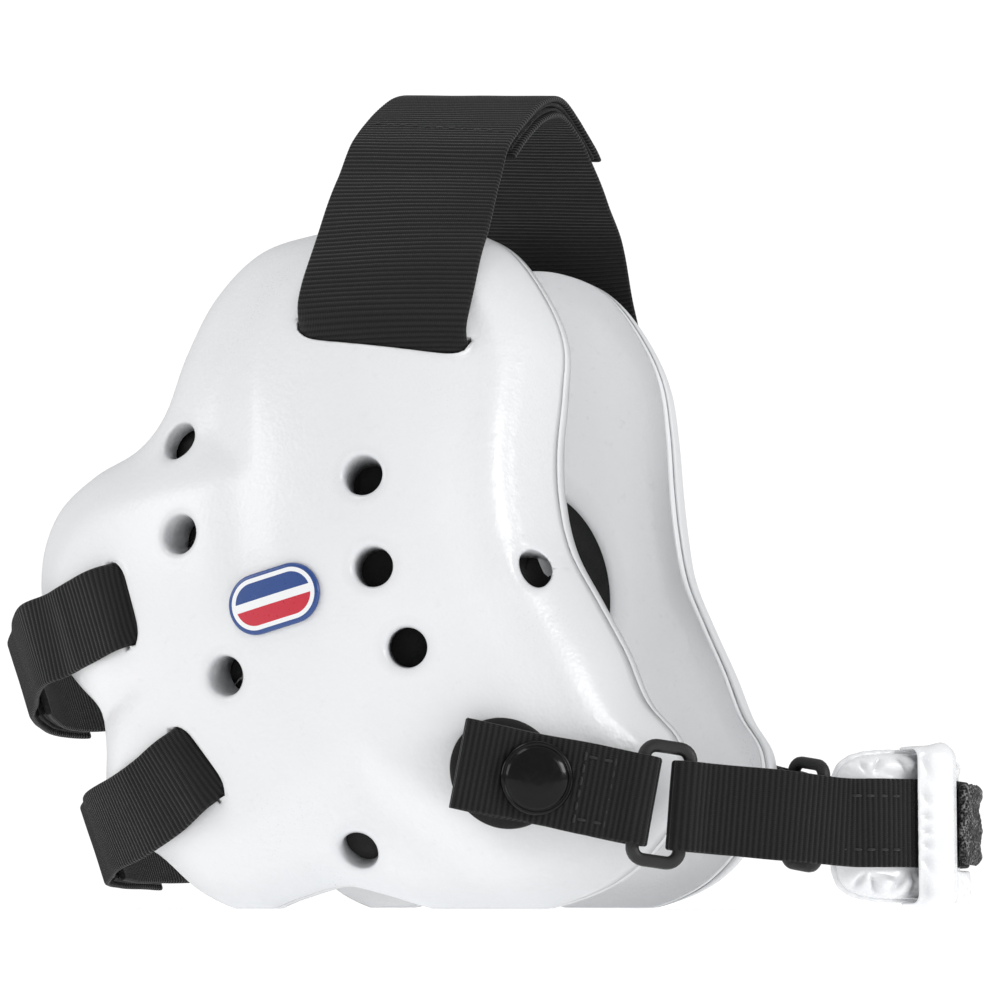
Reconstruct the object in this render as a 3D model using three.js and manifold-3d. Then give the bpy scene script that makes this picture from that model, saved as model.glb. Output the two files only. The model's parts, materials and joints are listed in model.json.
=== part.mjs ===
// Wrestling headgear: two moulded foam ear guards, a crown strap, two rear straps
// and a chin strap with a padded cup that snaps onto the guards.
// Millimetres. +X is the way the wearer faces, +Y the wearer's left, +Z up, and
// the mid-plane of the head is Y = 0. The lowest rims of the guards stand on Z = 0.
// Everything on the left side is built at its own place, and the right side mirrors it.
import * as THREE from 'three';
import { mergeVertices } from 'three/addons/utils/BufferGeometryUtils.js';
import Module from 'manifold-3d';

const wasm = await Module();
wasm.setup();

const CLEARANCE = 0.3; // between touching pieces

// ---- Ear guard ----
// Distance of the guard's base face from the mid-plane: a cup with its crown at (x, z).
// Its front bends in faster above the chin lobe, and its edge rolls in all round.
const CUP = { x: -8, z: 70, reach: 73, rear: 0.0030, above: 0.0035, below: 0.0030 };
const CUP_FRONT = { low: 0.0062, high: 0.0108, from: 30, to: 80 };
const RIM_ROLL = { drop: 8, width: 16 };
// Soft ridges run from a hub out to the crown strap, the rear straps and the chin snap.
const RIDGE = { height: 5, fade: 14, hub: { x: -3, z: 70, half: 26 } };
const RIDGE_ARMS = [
  { x: -6, z: 118, half: 24 },
  { x: -62, z: 70, half: 17 },
  { x: -46, z: 32, half: 17 },
  { x: 34, z: 28, half: 17 },
];
const SHELL_THICKNESS = 4.3; // outer foam layer under the base face
const LAYER_GAP = 2.6; // room between the layers for the liner and the strap tails
const LINER_THICKNESS = 1.2;
const PAD_RIM_THICKNESS = 5;
const PAD_EAR_THICKNESS = 10;
const EAR_OPENING = { x: -20, z: 74, halfWidth: 27, halfHeight: 30 };
const VENT_RADIUS = 4.25;
const VENT_SIDES = 12;
const VENTS = [
  [-3.7, 91.5], [-0.8, 71.9], [6.2, 54.8], [-47.4, 80.6],
  [-35.7, 49.7], [29.6, 71.9], [-52, 102], [-9.7, 12.6],
];
const BADGE = { x: -22.9, z: 65.6, length: 22, height: 13, turn: 14, thickness: 0.8 };
// The guard's outline, seen from the side, from its highest point round by the rear.
const OUTLINE = [
  [-6, 151.5], [-27, 150.6], [-42, 146.8], [-51.5, 136.6], [-57, 123], [-61, 109], [-67, 102.5],
  [-79, 97.5], [-89.5, 90.5], [-94.5, 81], [-95, 69], [-91.5, 58], [-83, 49.2], [-77, 43.5],
  [-75.8, 36], [-77, 25], [-72.5, 16.5], [-62, 10.5], [-53.5, 3.2], [-42, -0.9], [-30.5, 2.2],
  [-18.4, 4.9], [-8, 2.8], [4, -0.5], [18, -0.9], [29, 1.2], [39.5, 6], [47.5, 13.5], [53.8, 24.5],
  [53, 35.8], [47, 44.3], [42.6, 54.9], [37, 66], [31.8, 77], [29.5, 88], [28.7, 98.6],
  [28.8, 111.8], [28, 123], [23.5, 133.6], [14.5, 145.2], [3.5, 150.3],
];
const OUTLINE_STEPS = 62;
const GRID_STEP = 13; // one grid for all layers keeps the gap between them even

// ---- Webbing ----
const WEB = 1.4; // thickness of the wide webbing
const THIN_WEB = 1.2; // thickness of the chin webbing
const FASTENER = 0.7; // thickness of a hook or loop patch
const CROWN_WIDTH = 38;
const NARROW_WIDTH = 19;
const LAYER_LIFT = (WEB + 2 * FASTENER + 3 * CLEARANCE) / 2; // each half from the mean path
const FLAP_CUT = 0.4; // slit between a strap half and its flap, where the webbing bends
const TAIL_DEPTH = -(SHELL_THICKNESS + LAYER_GAP / 2); // tails lie in the middle of the gap
const TAIL_ROOM = 3; // of the pocket past the end of a tail
const WEB_STEP = 5; // straps bend every so many millimetres

// ---- Chin strap ----
const SNAP = { x: 29.7, z: 27.2, turn: 30 }; // where the stud stands, and its turn to the front
const TAB_SINK = 11; // degrees that the tab, the ring and the strap run downhill
const RING_SINK = 8;
const STRAP_SINK = 5;
const TAB_STANDOFF = 6.6; // of the tab's middle from the shell, along the snap's axis
const SNAP_TO_RING = 27.5;
const TAB_TAIL = 16.5; // of the tab behind the snap
const RING = { width: 12, height: 26, bar: 2.4, barX: 4.8 };
const BAR_LOOP = 2.7; // radius of the webbing's middle round a bar
const FOLD_GAP = THIN_WEB / 2 + CLEARANCE / 2;
const CHIN = { x: 67.6, strapRadius: 39.7, z: 18.3 }; // the vertical axis the strap bends round
const CUP_PAD = { inner: 30.6, outer: 38.6, bottom: 2, top: 33.4, centre: -13.5, half: 44 };
const KEEPER = { inner: 40.7, outer: 42.3, from: -29.5, to: -11.5, flange: 1.2, reach: 34 };
const CUP_LOOP = { inner: 40.7, outer: 42.7, from: -9, to: 20, half: 8.5 };

const FOAM_WHITE = { color: 0xeceef1, roughness: 0.42, metalness: 0 };
const LINER_BLACK = { color: 0x17181a, roughness: 0.9, metalness: 0 };
const WEB_BLACK = { color: 0x26262a, roughness: 0.8, metalness: 0 };
const FASTENER_BLACK = { color: 0x1b1b1d, roughness: 0.95, metalness: 0 };
const LOOP_GREY = { color: 0x3a3a3d, roughness: 0.95, metalness: 0 };
const SNAP_BLACK = { color: 0x0c0c0d, roughness: 0.2, metalness: 0.3 };
const SNAP_METAL = { color: 0x9b9c9e, roughness: 0.35, metalness: 0.9 };
const RING_BLACK = { color: 0x141416, roughness: 0.35, metalness: 0 };
const VINYL_WHITE = { color: 0xf4f5f7, roughness: 0.25, metalness: 0 };
const BADGE_BLUE = { color: 0x2a4f8f, roughness: 0.4, metalness: 0 };

// ---- Solids ----

function toSolid(geometry) {
  const bare = geometry.clone();
  bare.deleteAttribute('normal');
  bare.deleteAttribute('uv');
  const merged = mergeVertices(bare, 1e-4);
  return new wasm.Manifold(new wasm.Mesh({
    numProp: 3,
    vertProperties: new Float32Array(merged.attributes.position.array),
    triVerts: new Uint32Array(merged.index.array),
  }));
}

function toGeometry(solid) {
  const mesh = solid.getMesh();
  const geometry = new THREE.BufferGeometry();
  geometry.setAttribute('position', new THREE.BufferAttribute(new Float32Array(mesh.vertProperties), 3));
  geometry.setIndex(new THREE.BufferAttribute(new Uint32Array(mesh.triVerts), 1));
  return geometry;
}

function mirrored(geometry) {
  const copy = geometry.clone();
  copy.scale(1, -1, 1);
  const index = copy.index ?? new THREE.BufferAttribute(
    Uint32Array.from({ length: copy.attributes.position.count }, (_, i) => i), 1);
  for (let i = 0; i < index.count; i += 3) {
    const b = index.getX(i + 1);
    index.setX(i + 1, index.getX(i + 2));
    index.setX(i + 2, b);
  }
  copy.setIndex(index);
  return copy;
}

// A shape drawn in (x, z), as a prism from y = from to y = to.
function sidePrism(shape, from, to, curveSegments = 16) {
  const geometry = new THREE.ExtrudeGeometry(shape, { depth: to - from, bevelEnabled: false, curveSegments });
  geometry.rotateX(Math.PI / 2);
  geometry.translate(0, to, 0);
  return geometry;
}

function closedSpline(points, steps) {
  const curve = new THREE.CatmullRomCurve3(points.map(([x, z]) => new THREE.Vector3(x, z, 0)), true);
  const path = curve.getSpacedPoints(steps).slice(0, -1);
  return new THREE.Shape(path.map((p) => new THREE.Vector2(p.x, p.y)).reverse());
}

// A closed body from rings of points, each ring with the same count, with flat ends.
function loft(rings) {
  const size = rings[0].length;
  const indices = [];
  for (let i = 0; i + 1 < rings.length; i += 1) {
    for (let k = 0; k < size; k += 1) {
      const a = i * size + k;
      const b = i * size + ((k + 1) % size);
      indices.push(a, b, a + size, b, b + size, a + size);
    }
  }
  const last = (rings.length - 1) * size;
  for (let k = 1; k + 1 < size; k += 1) {
    indices.push(0, k + 1, k, last, last + k, last + k + 1);
  }
  const geometry = new THREE.BufferGeometry();
  geometry.setAttribute('position', new THREE.Float32BufferAttribute(rings.flat().flatMap((p) => p.toArray()), 3));
  geometry.setIndex(indices);
  return geometry;
}

// ---- The guard's surfaces ----

const RIM = closedSpline(OUTLINE, OUTLINE_STEPS).getPoints();

function insideRim(x, z) {
  let least = Infinity;
  for (let i = 0; i < RIM.length; i += 1) {
    const a = RIM[i];
    const b = RIM[(i + 1) % RIM.length];
    const abx = b.x - a.x;
    const abz = b.y - a.y;
    const t = THREE.MathUtils.clamp(((x - a.x) * abx + (z - a.y) * abz) / (abx * abx + abz * abz || 1), 0, 1);
    least = Math.min(least, Math.hypot(x - a.x - t * abx, z - a.y - t * abz));
  }
  return least;
}

function baseFace(x, z) {
  const dx = x - CUP.x;
  const dz = z - CUP.z;
  const high = THREE.MathUtils.smoothstep(z, CUP_FRONT.from, CUP_FRONT.to);
  const bendX = dx < 0 ? CUP.rear : THREE.MathUtils.lerp(CUP_FRONT.low, CUP_FRONT.high, high);
  const bendZ = dz > 0 ? CUP.above : CUP.below;
  const fromRim = 1 - Math.min(insideRim(x, z) / RIM_ROLL.width, 1);
  const roll = RIM_ROLL.drop * (1 - Math.sqrt(1 - fromRim * fromRim));
  return CUP.reach - bendX * dx * dx - bendZ * dz * dz - roll;
}

function outsideArm(x, z, arm) {
  const ax = arm.x - RIDGE.hub.x;
  const az = arm.z - RIDGE.hub.z;
  const along = ((x - RIDGE.hub.x) * ax + (z - RIDGE.hub.z) * az) / (ax * ax + az * az);
  const t = THREE.MathUtils.clamp(along, 0, 1);
  const half = THREE.MathUtils.lerp(RIDGE.hub.half, arm.half, t);
  return Math.hypot(x - RIDGE.hub.x - t * ax, z - RIDGE.hub.z - t * az) - half;
}

function outerFace(x, z) {
  const outside = Math.min(...RIDGE_ARMS.map((arm) => outsideArm(x, z, arm)));
  return baseFace(x, z) + RIDGE.height * (1 - THREE.MathUtils.smoothstep(outside, 0, RIDGE.fade));
}

function gapFace(x, z) {
  return baseFace(x, z) + TAIL_DEPTH;
}

function padInnerFace(x, z) {
  const near = Math.exp(-(((x - EAR_OPENING.x) ** 2 + (z - EAR_OPENING.z) ** 2) / 45 ** 2));
  const thickness = THREE.MathUtils.lerp(PAD_RIM_THICKNESS, PAD_EAR_THICKNESS, near);
  return baseFace(x, z) - SHELL_THICKNESS - LAYER_GAP - thickness;
}

function outwardAt(x, z) {
  const slopeX = outerFace(x + 0.5, z) - outerFace(x - 0.5, z);
  const slopeZ = outerFace(x, z + 0.5) - outerFace(x, z - 0.5);
  return new THREE.Vector3(-slopeX, 1, -slopeZ).normalize();
}

// A slab between two faces y = inner(x, z) and y = outer(x, z) over a box of x and z.
function slab(inner, outer, box, step) {
  const nx = Math.ceil((box.x1 - box.x0) / step);
  const nz = Math.ceil((box.z1 - box.z0) / step);
  const positions = [];
  for (const face of [outer, inner]) {
    for (let j = 0; j <= nz; j += 1) {
      for (let i = 0; i <= nx; i += 1) {
        const x = THREE.MathUtils.lerp(box.x0, box.x1, i / nx);
        const z = THREE.MathUtils.lerp(box.z0, box.z1, j / nz);
        positions.push(x, face(x, z), z);
      }
    }
  }
  const row = nx + 1;
  const under = row * (nz + 1);
  const indices = [];
  for (let j = 0; j < nz; j += 1) {
    for (let i = 0; i < nx; i += 1) {
      const a = j * row + i;
      indices.push(a, a + row, a + 1, a + 1, a + row, a + row + 1);
      indices.push(under + a, under + a + 1, under + a + row);
      indices.push(under + a + 1, under + a + row + 1, under + a + row);
    }
  }
  const wall = (a, b) => indices.push(a, b, under + a, b, under + b, under + a);
  for (let i = 0; i < nx; i += 1) {
    wall(i, i + 1);
    wall(nz * row + i + 1, nz * row + i);
  }
  for (let j = 0; j < nz; j += 1) {
    wall((j + 1) * row, j * row);
    wall(j * row + nx, (j + 1) * row + nx);
  }
  const geometry = new THREE.BufferGeometry();
  geometry.setAttribute('position', new THREE.Float32BufferAttribute(positions, 3));
  geometry.setIndex(indices);
  return toSolid(geometry);
}

const GUARD_BOX = { x0: -98, x1: 57, z0: 0, z1: 154 };

function guardPrism() {
  return toSolid(sidePrism(closedSpline(OUTLINE, OUTLINE_STEPS), 0, 100));
}

function ventDrill(x, z) {
  const drill = new THREE.CylinderGeometry(VENT_RADIUS, VENT_RADIUS, 30, VENT_SIDES);
  drill.applyQuaternion(new THREE.Quaternion().setFromUnitVectors(new THREE.Vector3(0, 1, 0), outwardAt(x, z)));
  drill.translate(x, outerFace(x, z), z);
  return toSolid(drill);
}

function outerShell(cuts) {
  let shell = slab((x, z) => baseFace(x, z) - SHELL_THICKNESS, outerFace, GUARD_BOX, GRID_STEP);
  shell = shell.intersect(guardPrism());
  for (const [x, z] of VENTS) {
    shell = shell.subtract(ventDrill(x, z));
  }
  for (const cut of cuts) {
    shell = shell.subtract(cut);
  }
  return toGeometry(shell);
}

// Black foam behind the vents, between the layers, held in from the rim.
function liner(cuts) {
  const inset = OUTLINE.map(([x, z]) => [CUP.x + (x - CUP.x) * 0.88, CUP.z + (z - CUP.z) * 0.9]);
  const middle = (x, z) => gapFace(x, z);
  let sheet = slab((x, z) => middle(x, z) - LINER_THICKNESS / 2, (x, z) => middle(x, z) + LINER_THICKNESS / 2,
    GUARD_BOX, GRID_STEP);
  sheet = sheet.intersect(toSolid(sidePrism(closedSpline(inset, 28), 0, 100)));
  for (const cut of cuts) {
    sheet = sheet.subtract(cut);
  }
  return toGeometry(sheet);
}

function innerPad(cuts) {
  const opening = new THREE.Shape();
  opening.absellipse(EAR_OPENING.x, EAR_OPENING.z, EAR_OPENING.halfWidth, EAR_OPENING.halfHeight, 0, 2 * Math.PI);
  let pad = slab(padInnerFace, (x, z) => baseFace(x, z) - SHELL_THICKNESS - LAYER_GAP, GUARD_BOX, GRID_STEP);
  pad = pad.intersect(guardPrism()).subtract(toSolid(sidePrism(opening, 0, 100, 16)));
  for (const cut of cuts) {
    pad = pad.subtract(cut);
  }
  return toGeometry(pad);
}

// A thin piece of a given side shape, lying on the guard's outer face.
function onGuard(shape, thickness, cuts) {
  const box = new THREE.Box2().setFromPoints(shape.getPoints(12)).expandByScalar(1);
  const area = { x0: box.min.x, x1: box.max.x, z0: box.min.y, z1: box.max.y };
  let patch = slab((x, z) => outerFace(x, z) + CLEARANCE, (x, z) => outerFace(x, z) + CLEARANCE + thickness,
    area, 6);
  patch = patch.intersect(toSolid(sidePrism(shape, 0, 100, 8)));
  for (const cut of cuts) {
    patch = patch.subtract(cut);
  }
  return toGeometry(patch);
}

function badge() {
  const straight = (BADGE.length - BADGE.height) / 2;
  const turn = THREE.MathUtils.degToRad(BADGE.turn);
  const pill = new THREE.Shape();
  for (const end of [1, -1]) {
    const x = BADGE.x + end * straight * Math.cos(turn);
    const z = BADGE.z + end * straight * Math.sin(turn);
    const start = turn - (end * Math.PI) / 2;
    pill.absarc(x, z, BADGE.height / 2, start, start + Math.PI, false);
  }
  return onGuard(pill, BADGE.thickness, []);
}

// ---- Straps that run from guard to guard ----

// A strap's mean path from the left guard over to the right one, with the direction
// across the webbing turning from the slot's line to the middle's.
function strapPath(points, slotLine, middleLine) {
  const left = points.map(([x, y, z]) => new THREE.Vector3(x, y, z));
  const right = left.slice(0, -1).map((p) => new THREE.Vector3(p.x, -p.y, p.z)).reverse();
  const curve = new THREE.CatmullRomCurve3([...left, ...right], false, 'centripetal');
  curve.arcLengthDivisions = 800;
  const length = curve.getLength();
  const end = new THREE.Vector3(...slotLine).normalize();
  const middle = new THREE.Vector3(...middleLine).normalize();
  // s is the distance along the path, from the mid-plane towards the left.
  const frame = (s) => {
    const u = THREE.MathUtils.clamp(0.5 - s / length, 0, 1);
    const point = curve.getPointAt(u);
    const along = curve.getTangentAt(u);
    const share = THREE.MathUtils.smoothstep(Math.abs(s), length * 0.1, length * 0.4);
    const across = middle.clone().lerp(end, share);
    across.addScaledVector(along, -across.dot(along)).normalize();
    return { point, across, out: along.clone().cross(across).normalize() };
  };
  return { frame, half: length / 2 };
}

// A length of webbing from s = from to s = to, lifted off the path by lift(s). Pieces on
// one path bend at the same places, so they stay clear of each other.
function webbing(path, from, to, lift, width, thickness) {
  const stations = [to];
  for (let s = Math.floor(to / WEB_STEP) * WEB_STEP; s > from + 0.3; s -= WEB_STEP) {
    if (to - s > 0.3) {
      stations.push(s);
    }
  }
  stations.push(from);
  const rings = [];
  for (const s of stations) {
    const { point, across, out } = path.frame(s);
    const corner = (a, o) => point.clone().addScaledVector(across, (a * width) / 2)
      .addScaledVector(out, lift(s) + (o * thickness) / 2);
    rings.push([corner(-1, -1), corner(1, -1), corner(1, 1), corner(-1, 1)]);
  }
  return loft(rings);
}

const onShell = (x, z, lift = 1.3) => [x, outerFace(x, z) + lift, z];
const inGap = (x, z) => [x, gapFace(x, z), z];
const inShell = (x, z) => [x, (outerFace(x, z) + baseFace(x, z) - SHELL_THICKNESS) / 2, z];

const CROWN_X = -3.4;
const STRAPS = [
  {
    name: 'crown',
    width: CROWN_WIDTH,
    points: [
      inGap(CROWN_X, 102), inGap(CROWN_X, 112), inShell(CROWN_X, 119), onShell(CROWN_X, 126),
      onShell(CROWN_X, 135), [CROWN_X, 56.6, 146], [CROWN_X, 46.6, 158], [CROWN_X, 34.6, 168.6],
      [CROWN_X, 22, 176.9], [CROWN_X, 11, 182.4], [CROWN_X, 0, 184.8],
    ],
    slotLine: [1, 0, 0],
    middleLine: [1, 0, 0],
    overlap: [-38, 28],
    flapFrom: 4,
  },
  {
    name: 'upper_rear',
    width: NARROW_WIDTH,
    points: [
      inGap(-43, 71.5), inGap(-52, 69), inShell(-59.5, 67), onShell(-66.5, 65), onShell(-75, 62.3),
      onShell(-82, 60.3, 2), [-89.6, 57, 58.6], [-95.4, 49.4, 56.6], [-101.8, 37, 54], [-107.2, 22, 51.6],
      [-110.2, 9, 50.2], [-110.9, 0, 49.9],
    ],
    slotLine: [-0.33, 0, 0.944],
    middleLine: [-0.335, 0, 0.942],
    overlap: [-30, 12],
    flapFrom: -8,
  },
  {
    name: 'lower_rear',
    width: NARROW_WIDTH,
    points: [
      inGap(-28.5, 44), inGap(-35.5, 38.3), inShell(-41.5, 33.4), onShell(-47.5, 28.8), onShell(-55, 24.2),
      onShell(-64, 20.3, 1.8), [-75.8, 49.6, 17.2], [-82.4, 38, 15.6], [-87.3, 24.5, 14.6], [-90.1, 12, 14.1],
      [-90.9, 0, 14],
    ],
    slotLine: [-0.626, 0, 0.78],
    middleLine: [-0.335, 0, 0.942],
    overlap: [-28, 12],
    flapFrom: -8,
  },
];

// The halves part from the mean path where they lie on each other.
function halfLift(strap, layer) {
  const reach = Math.max(...strap.overlap.map(Math.abs));
  return (s) => layer * LAYER_LIFT * (1 - THREE.MathUtils.smoothstep(Math.abs(s), reach, reach + 14));
}

// ---- Chin strap ----

// A frame on the left side with its origin at a point: x forward along the webbing,
// y outward and z across the webbing, running downhill by sink degrees.
function chinFrame(origin, sink) {
  const turn = THREE.MathUtils.degToRad(SNAP.turn);
  const dip = THREE.MathUtils.degToRad(sink);
  const along = new THREE.Vector3(
    Math.cos(dip) * Math.cos(turn), -Math.cos(dip) * Math.sin(turn), -Math.sin(dip));
  const out = new THREE.Vector3(Math.sin(turn), Math.cos(turn), 0);
  const across = along.clone().cross(out);
  return new THREE.Matrix4().makeBasis(along, out, across).setPosition(origin);
}

function inFrame(frame, x, y, z = 0) {
  return new THREE.Vector3(x, y, z).applyMatrix4(frame);
}

const snapPoint = new THREE.Vector3(SNAP.x, outerFace(SNAP.x, SNAP.z), SNAP.z);
const snapFrame = chinFrame(snapPoint, TAB_SINK);
const ringCentre = inFrame(snapFrame, SNAP_TO_RING, TAB_STANDOFF);
const tabFrame = chinFrame(ringCentre, TAB_SINK);
const ringFrame = chinFrame(ringCentre, RING_SINK);
const strapFrame = chinFrame(ringCentre, STRAP_SINK);

// Webbing that runs along a list of points, with its width along the across direction.
function narrowWeb(points, across, steps) {
  const curve = new THREE.CatmullRomCurve3(points, false, 'centripetal');
  curve.arcLengthDivisions = 1200;
  const rings = [];
  for (let i = 0; i <= steps; i += 1) {
    const point = curve.getPointAt(i / steps);
    const along = curve.getTangentAt(i / steps);
    const wide = across(point).clone();
    wide.addScaledVector(along, -wide.dot(along)).normalize();
    const out = wide.clone().cross(along).normalize();
    const corner = (a, o) => point.clone().addScaledVector(wide, (a * NARROW_WIDTH) / 2)
      .addScaledVector(out, (o * THIN_WEB) / 2);
    rings.push([corner(-1, -1), corner(-1, 1), corner(1, 1), corner(1, -1)]);
  }
  return loft(rings);
}

// The points of webbing that comes in on the outer side, turns round a bar at x = bar
// and goes back on the inner side. side is -1 for the rear bar and 1 for the front one.
function roundBar(frame, bar, side) {
  return [
    inFrame(frame, bar + side * 9, FOLD_GAP),
    inFrame(frame, bar + side * 4.6, FOLD_GAP + 0.5),
    inFrame(frame, bar + side * 0.8, BAR_LOOP - 0.05),
    inFrame(frame, bar - side * 1.8, BAR_LOOP * 0.74),
    inFrame(frame, bar - side * BAR_LOOP, 0),
    inFrame(frame, bar - side * 1.8, -BAR_LOOP * 0.74),
    inFrame(frame, bar + side * 0.8, -BAR_LOOP + 0.05),
    inFrame(frame, bar + side * 4.6, -FOLD_GAP - 0.5),
    inFrame(frame, bar + side * 9, -FOLD_GAP),
  ];
}

function tab() {
  const rear = -SNAP_TO_RING - TAB_TAIL;
  const across = new THREE.Vector3().setFromMatrixColumn(tabFrame, 2);
  const points = [
    inFrame(tabFrame, rear, FOLD_GAP),
    inFrame(tabFrame, (rear + RING.barX) / 2 - 4, FOLD_GAP),
    ...roundBar(tabFrame, -RING.barX, -1),
    inFrame(tabFrame, (rear + RING.barX) / 2 - 4, -FOLD_GAP),
    inFrame(tabFrame, rear, -FOLD_GAP),
  ];
  const drill = new THREE.CylinderGeometry(2.4, 2.4, 12, 12);
  drill.translate(-SNAP_TO_RING, 0, 0);
  drill.applyMatrix4(tabFrame);
  return toGeometry(toSolid(narrowWeb(points, () => across, 34)).subtract(toSolid(drill)));
}

// The chin strap: both ends turn round the rings' front bars, and it bends round the chin.
function chinStrap() {
  const upright = new THREE.Vector3(0, 0, 1);
  const leaning = new THREE.Vector3().setFromMatrixColumn(strapFrame, 2);
  const reach = 25;
  const end = [
    ...[reach, 16].map((x) => inFrame(strapFrame, x, -FOLD_GAP)),
    ...roundBar(strapFrame, RING.barX, 1).reverse(),
    ...[17, 27].map((x) => inFrame(strapFrame, x, FOLD_GAP)),
  ];
  const bend = [];
  for (let angle = 54; angle >= 0; angle -= 9) {
    const a = THREE.MathUtils.degToRad(angle);
    bend.push(new THREE.Vector3(
      CHIN.x + CHIN.strapRadius * Math.cos(a), CHIN.strapRadius * Math.sin(a), CHIN.z));
  }
  const left = [...end, ...bend];
  const flip = (p) => new THREE.Vector3(p.x, -p.y, p.z);
  const right = left.slice(0, -1).map(flip).reverse();
  const across = (point) => {
    const side = new THREE.Vector3(leaning.x, leaning.y * Math.sign(point.y), leaning.z);
    return side.lerp(upright, THREE.MathUtils.smoothstep(point.x, 74, 92));
  };
  return narrowWeb([...left, ...right], across, 100);
}

function ring() {
  const rect = (path, w, h, r) => {
    path.moveTo(-w / 2 + r, -h / 2);
    path.absarc(w / 2 - r, -h / 2 + r, r, -Math.PI / 2, 0, false);
    path.absarc(w / 2 - r, h / 2 - r, r, 0, Math.PI / 2, false);
    path.absarc(-w / 2 + r, h / 2 - r, r, Math.PI / 2, Math.PI, false);
    path.absarc(-w / 2 + r, -h / 2 + r, r, Math.PI, 1.5 * Math.PI, false);
  };
  const frame = new THREE.Shape();
  const hole = new THREE.Path();
  rect(frame, RING.width, RING.height, 3.4);
  rect(hole, RING.width - 2 * RING.bar, RING.height - 2 * RING.bar, 1);
  frame.holes.push(hole);
  const bevel = 0.5;
  const geometry = new THREE.ExtrudeGeometry(frame, {
    depth: RING.bar - 2 * bevel, bevelSize: bevel, bevelOffset: -bevel, bevelThickness: bevel,
    bevelSegments: 1, curveSegments: 3,
  });
  geometry.translate(0, 0, -RING.bar / 2 + bevel);
  geometry.rotateX(Math.PI / 2);
  geometry.applyMatrix4(ringFrame);
  return geometry;
}

// A turned piece on the snap's axis, from its [radius, distance outward] profile.
function turned(profile, segments = 16) {
  const geometry = new THREE.LatheGeometry(profile.map(([r, y]) => new THREE.Vector2(r, y)), segments);
  geometry.applyMatrix4(snapFrame);
  return geometry;
}

const TAB_INNER = TAB_STANDOFF - FOLD_GAP - THIN_WEB / 2;
const TAB_OUTER = TAB_STANDOFF + FOLD_GAP + THIN_WEB / 2;
const STUD_FACE = 3.3; // the stud's flange ends here, clear of the patch
const WASHER = { radius: 5, back: -9.9, front: -9.2 }; // it lies in the gap between the layers

const snapCap = () => turned([
  [0, TAB_INNER - 0.9], [1.9, TAB_INNER - 0.9], [1.9, TAB_OUTER + CLEARANCE], [7.2, TAB_OUTER + CLEARANCE],
  [7.8, TAB_OUTER + 0.7], [7.6, TAB_OUTER + 1.3], [6.4, TAB_OUTER + 2.1], [3.6, TAB_OUTER + 2.7],
  [0, TAB_OUTER + 2.9],
]);

const snapSocket = () => turned([
  [3.2, STUD_FACE + CLEARANCE], [5.6, STUD_FACE + CLEARANCE], [5.6, TAB_INNER - CLEARANCE],
  [2.3, TAB_INNER - CLEARANCE], [2.3, TAB_INNER - 0.7], [3.2, TAB_INNER - 0.8],
  [3.2, STUD_FACE + CLEARANCE],
]);

const snapStud = () => turned([
  [0, WASHER.front + CLEARANCE], [1.6, WASHER.front + CLEARANCE], [1.6, 2.8], [3.9, 2.8], [3.9, STUD_FACE],
  [2.2, STUD_FACE], [2.2, TAB_INNER - 1.6], [0, TAB_INNER - 1.4],
]);

function studWasher(grow = 0) {
  const { radius, back, front } = WASHER;
  return turned([[0, back - grow], [radius + grow, back - grow], [radius + grow, front + grow], [0, front + grow]]);
}

function patchShape() {
  const oval = new THREE.Shape();
  oval.absellipse(SNAP.x - 4.6, SNAP.z + 1.2, 10.6, 11.6, 0, 2 * Math.PI);
  return oval;
}

function bore(radius) {
  const drill = new THREE.CylinderGeometry(radius, radius, 24, 12);
  drill.applyMatrix4(snapFrame);
  return toSolid(drill);
}

// A ring sector about the chin's vertical axis; angles in degrees, positive to the left.
function sector(inner, outer, from, to, bottom, top, bevel = 0) {
  const a = THREE.MathUtils.degToRad(from);
  const b = THREE.MathUtils.degToRad(to);
  const shape = new THREE.Shape();
  shape.absarc(CHIN.x, 0, outer - bevel, a, b, false);
  shape.absarc(CHIN.x, 0, inner + bevel, b, a, true);
  const geometry = new THREE.ExtrudeGeometry(shape, {
    depth: top - bottom - 2 * bevel, bevelEnabled: bevel > 0, bevelSize: bevel, bevelThickness: bevel,
    bevelSegments: 1, curveSegments: 10,
  });
  geometry.translate(0, 0, bottom + bevel);
  return geometry;
}

function keeper() {
  const { inner, outer, from, to, flange, reach } = KEEPER;
  const bottom = CUP_PAD.bottom - CLEARANCE - flange;
  const top = CUP_PAD.top + CLEARANCE + flange;
  const front = toSolid(sector(inner, outer, from, to, bottom, top));
  const over = toSolid(sector(reach, outer, from, to, top - flange, top));
  const under = toSolid(sector(reach, outer, from, to, bottom, bottom + flange));
  return toGeometry(front.add(over).add(under));
}

// ---- Assembly ----

const headgear = new THREE.Group();

function add(name, geometry, finish) {
  const shown = geometry.index ? geometry.toNonIndexed() : geometry;
  shown.computeVertexNormals();
  const mesh = new THREE.Mesh(shown, new THREE.MeshStandardMaterial(finish));
  mesh.name = name;
  headgear.add(mesh);
}

function addPair(name, geometry, finish) {
  add(`left_${name}`, geometry, finish);
  add(`right_${name}`, mirrored(geometry), finish);
}

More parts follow.
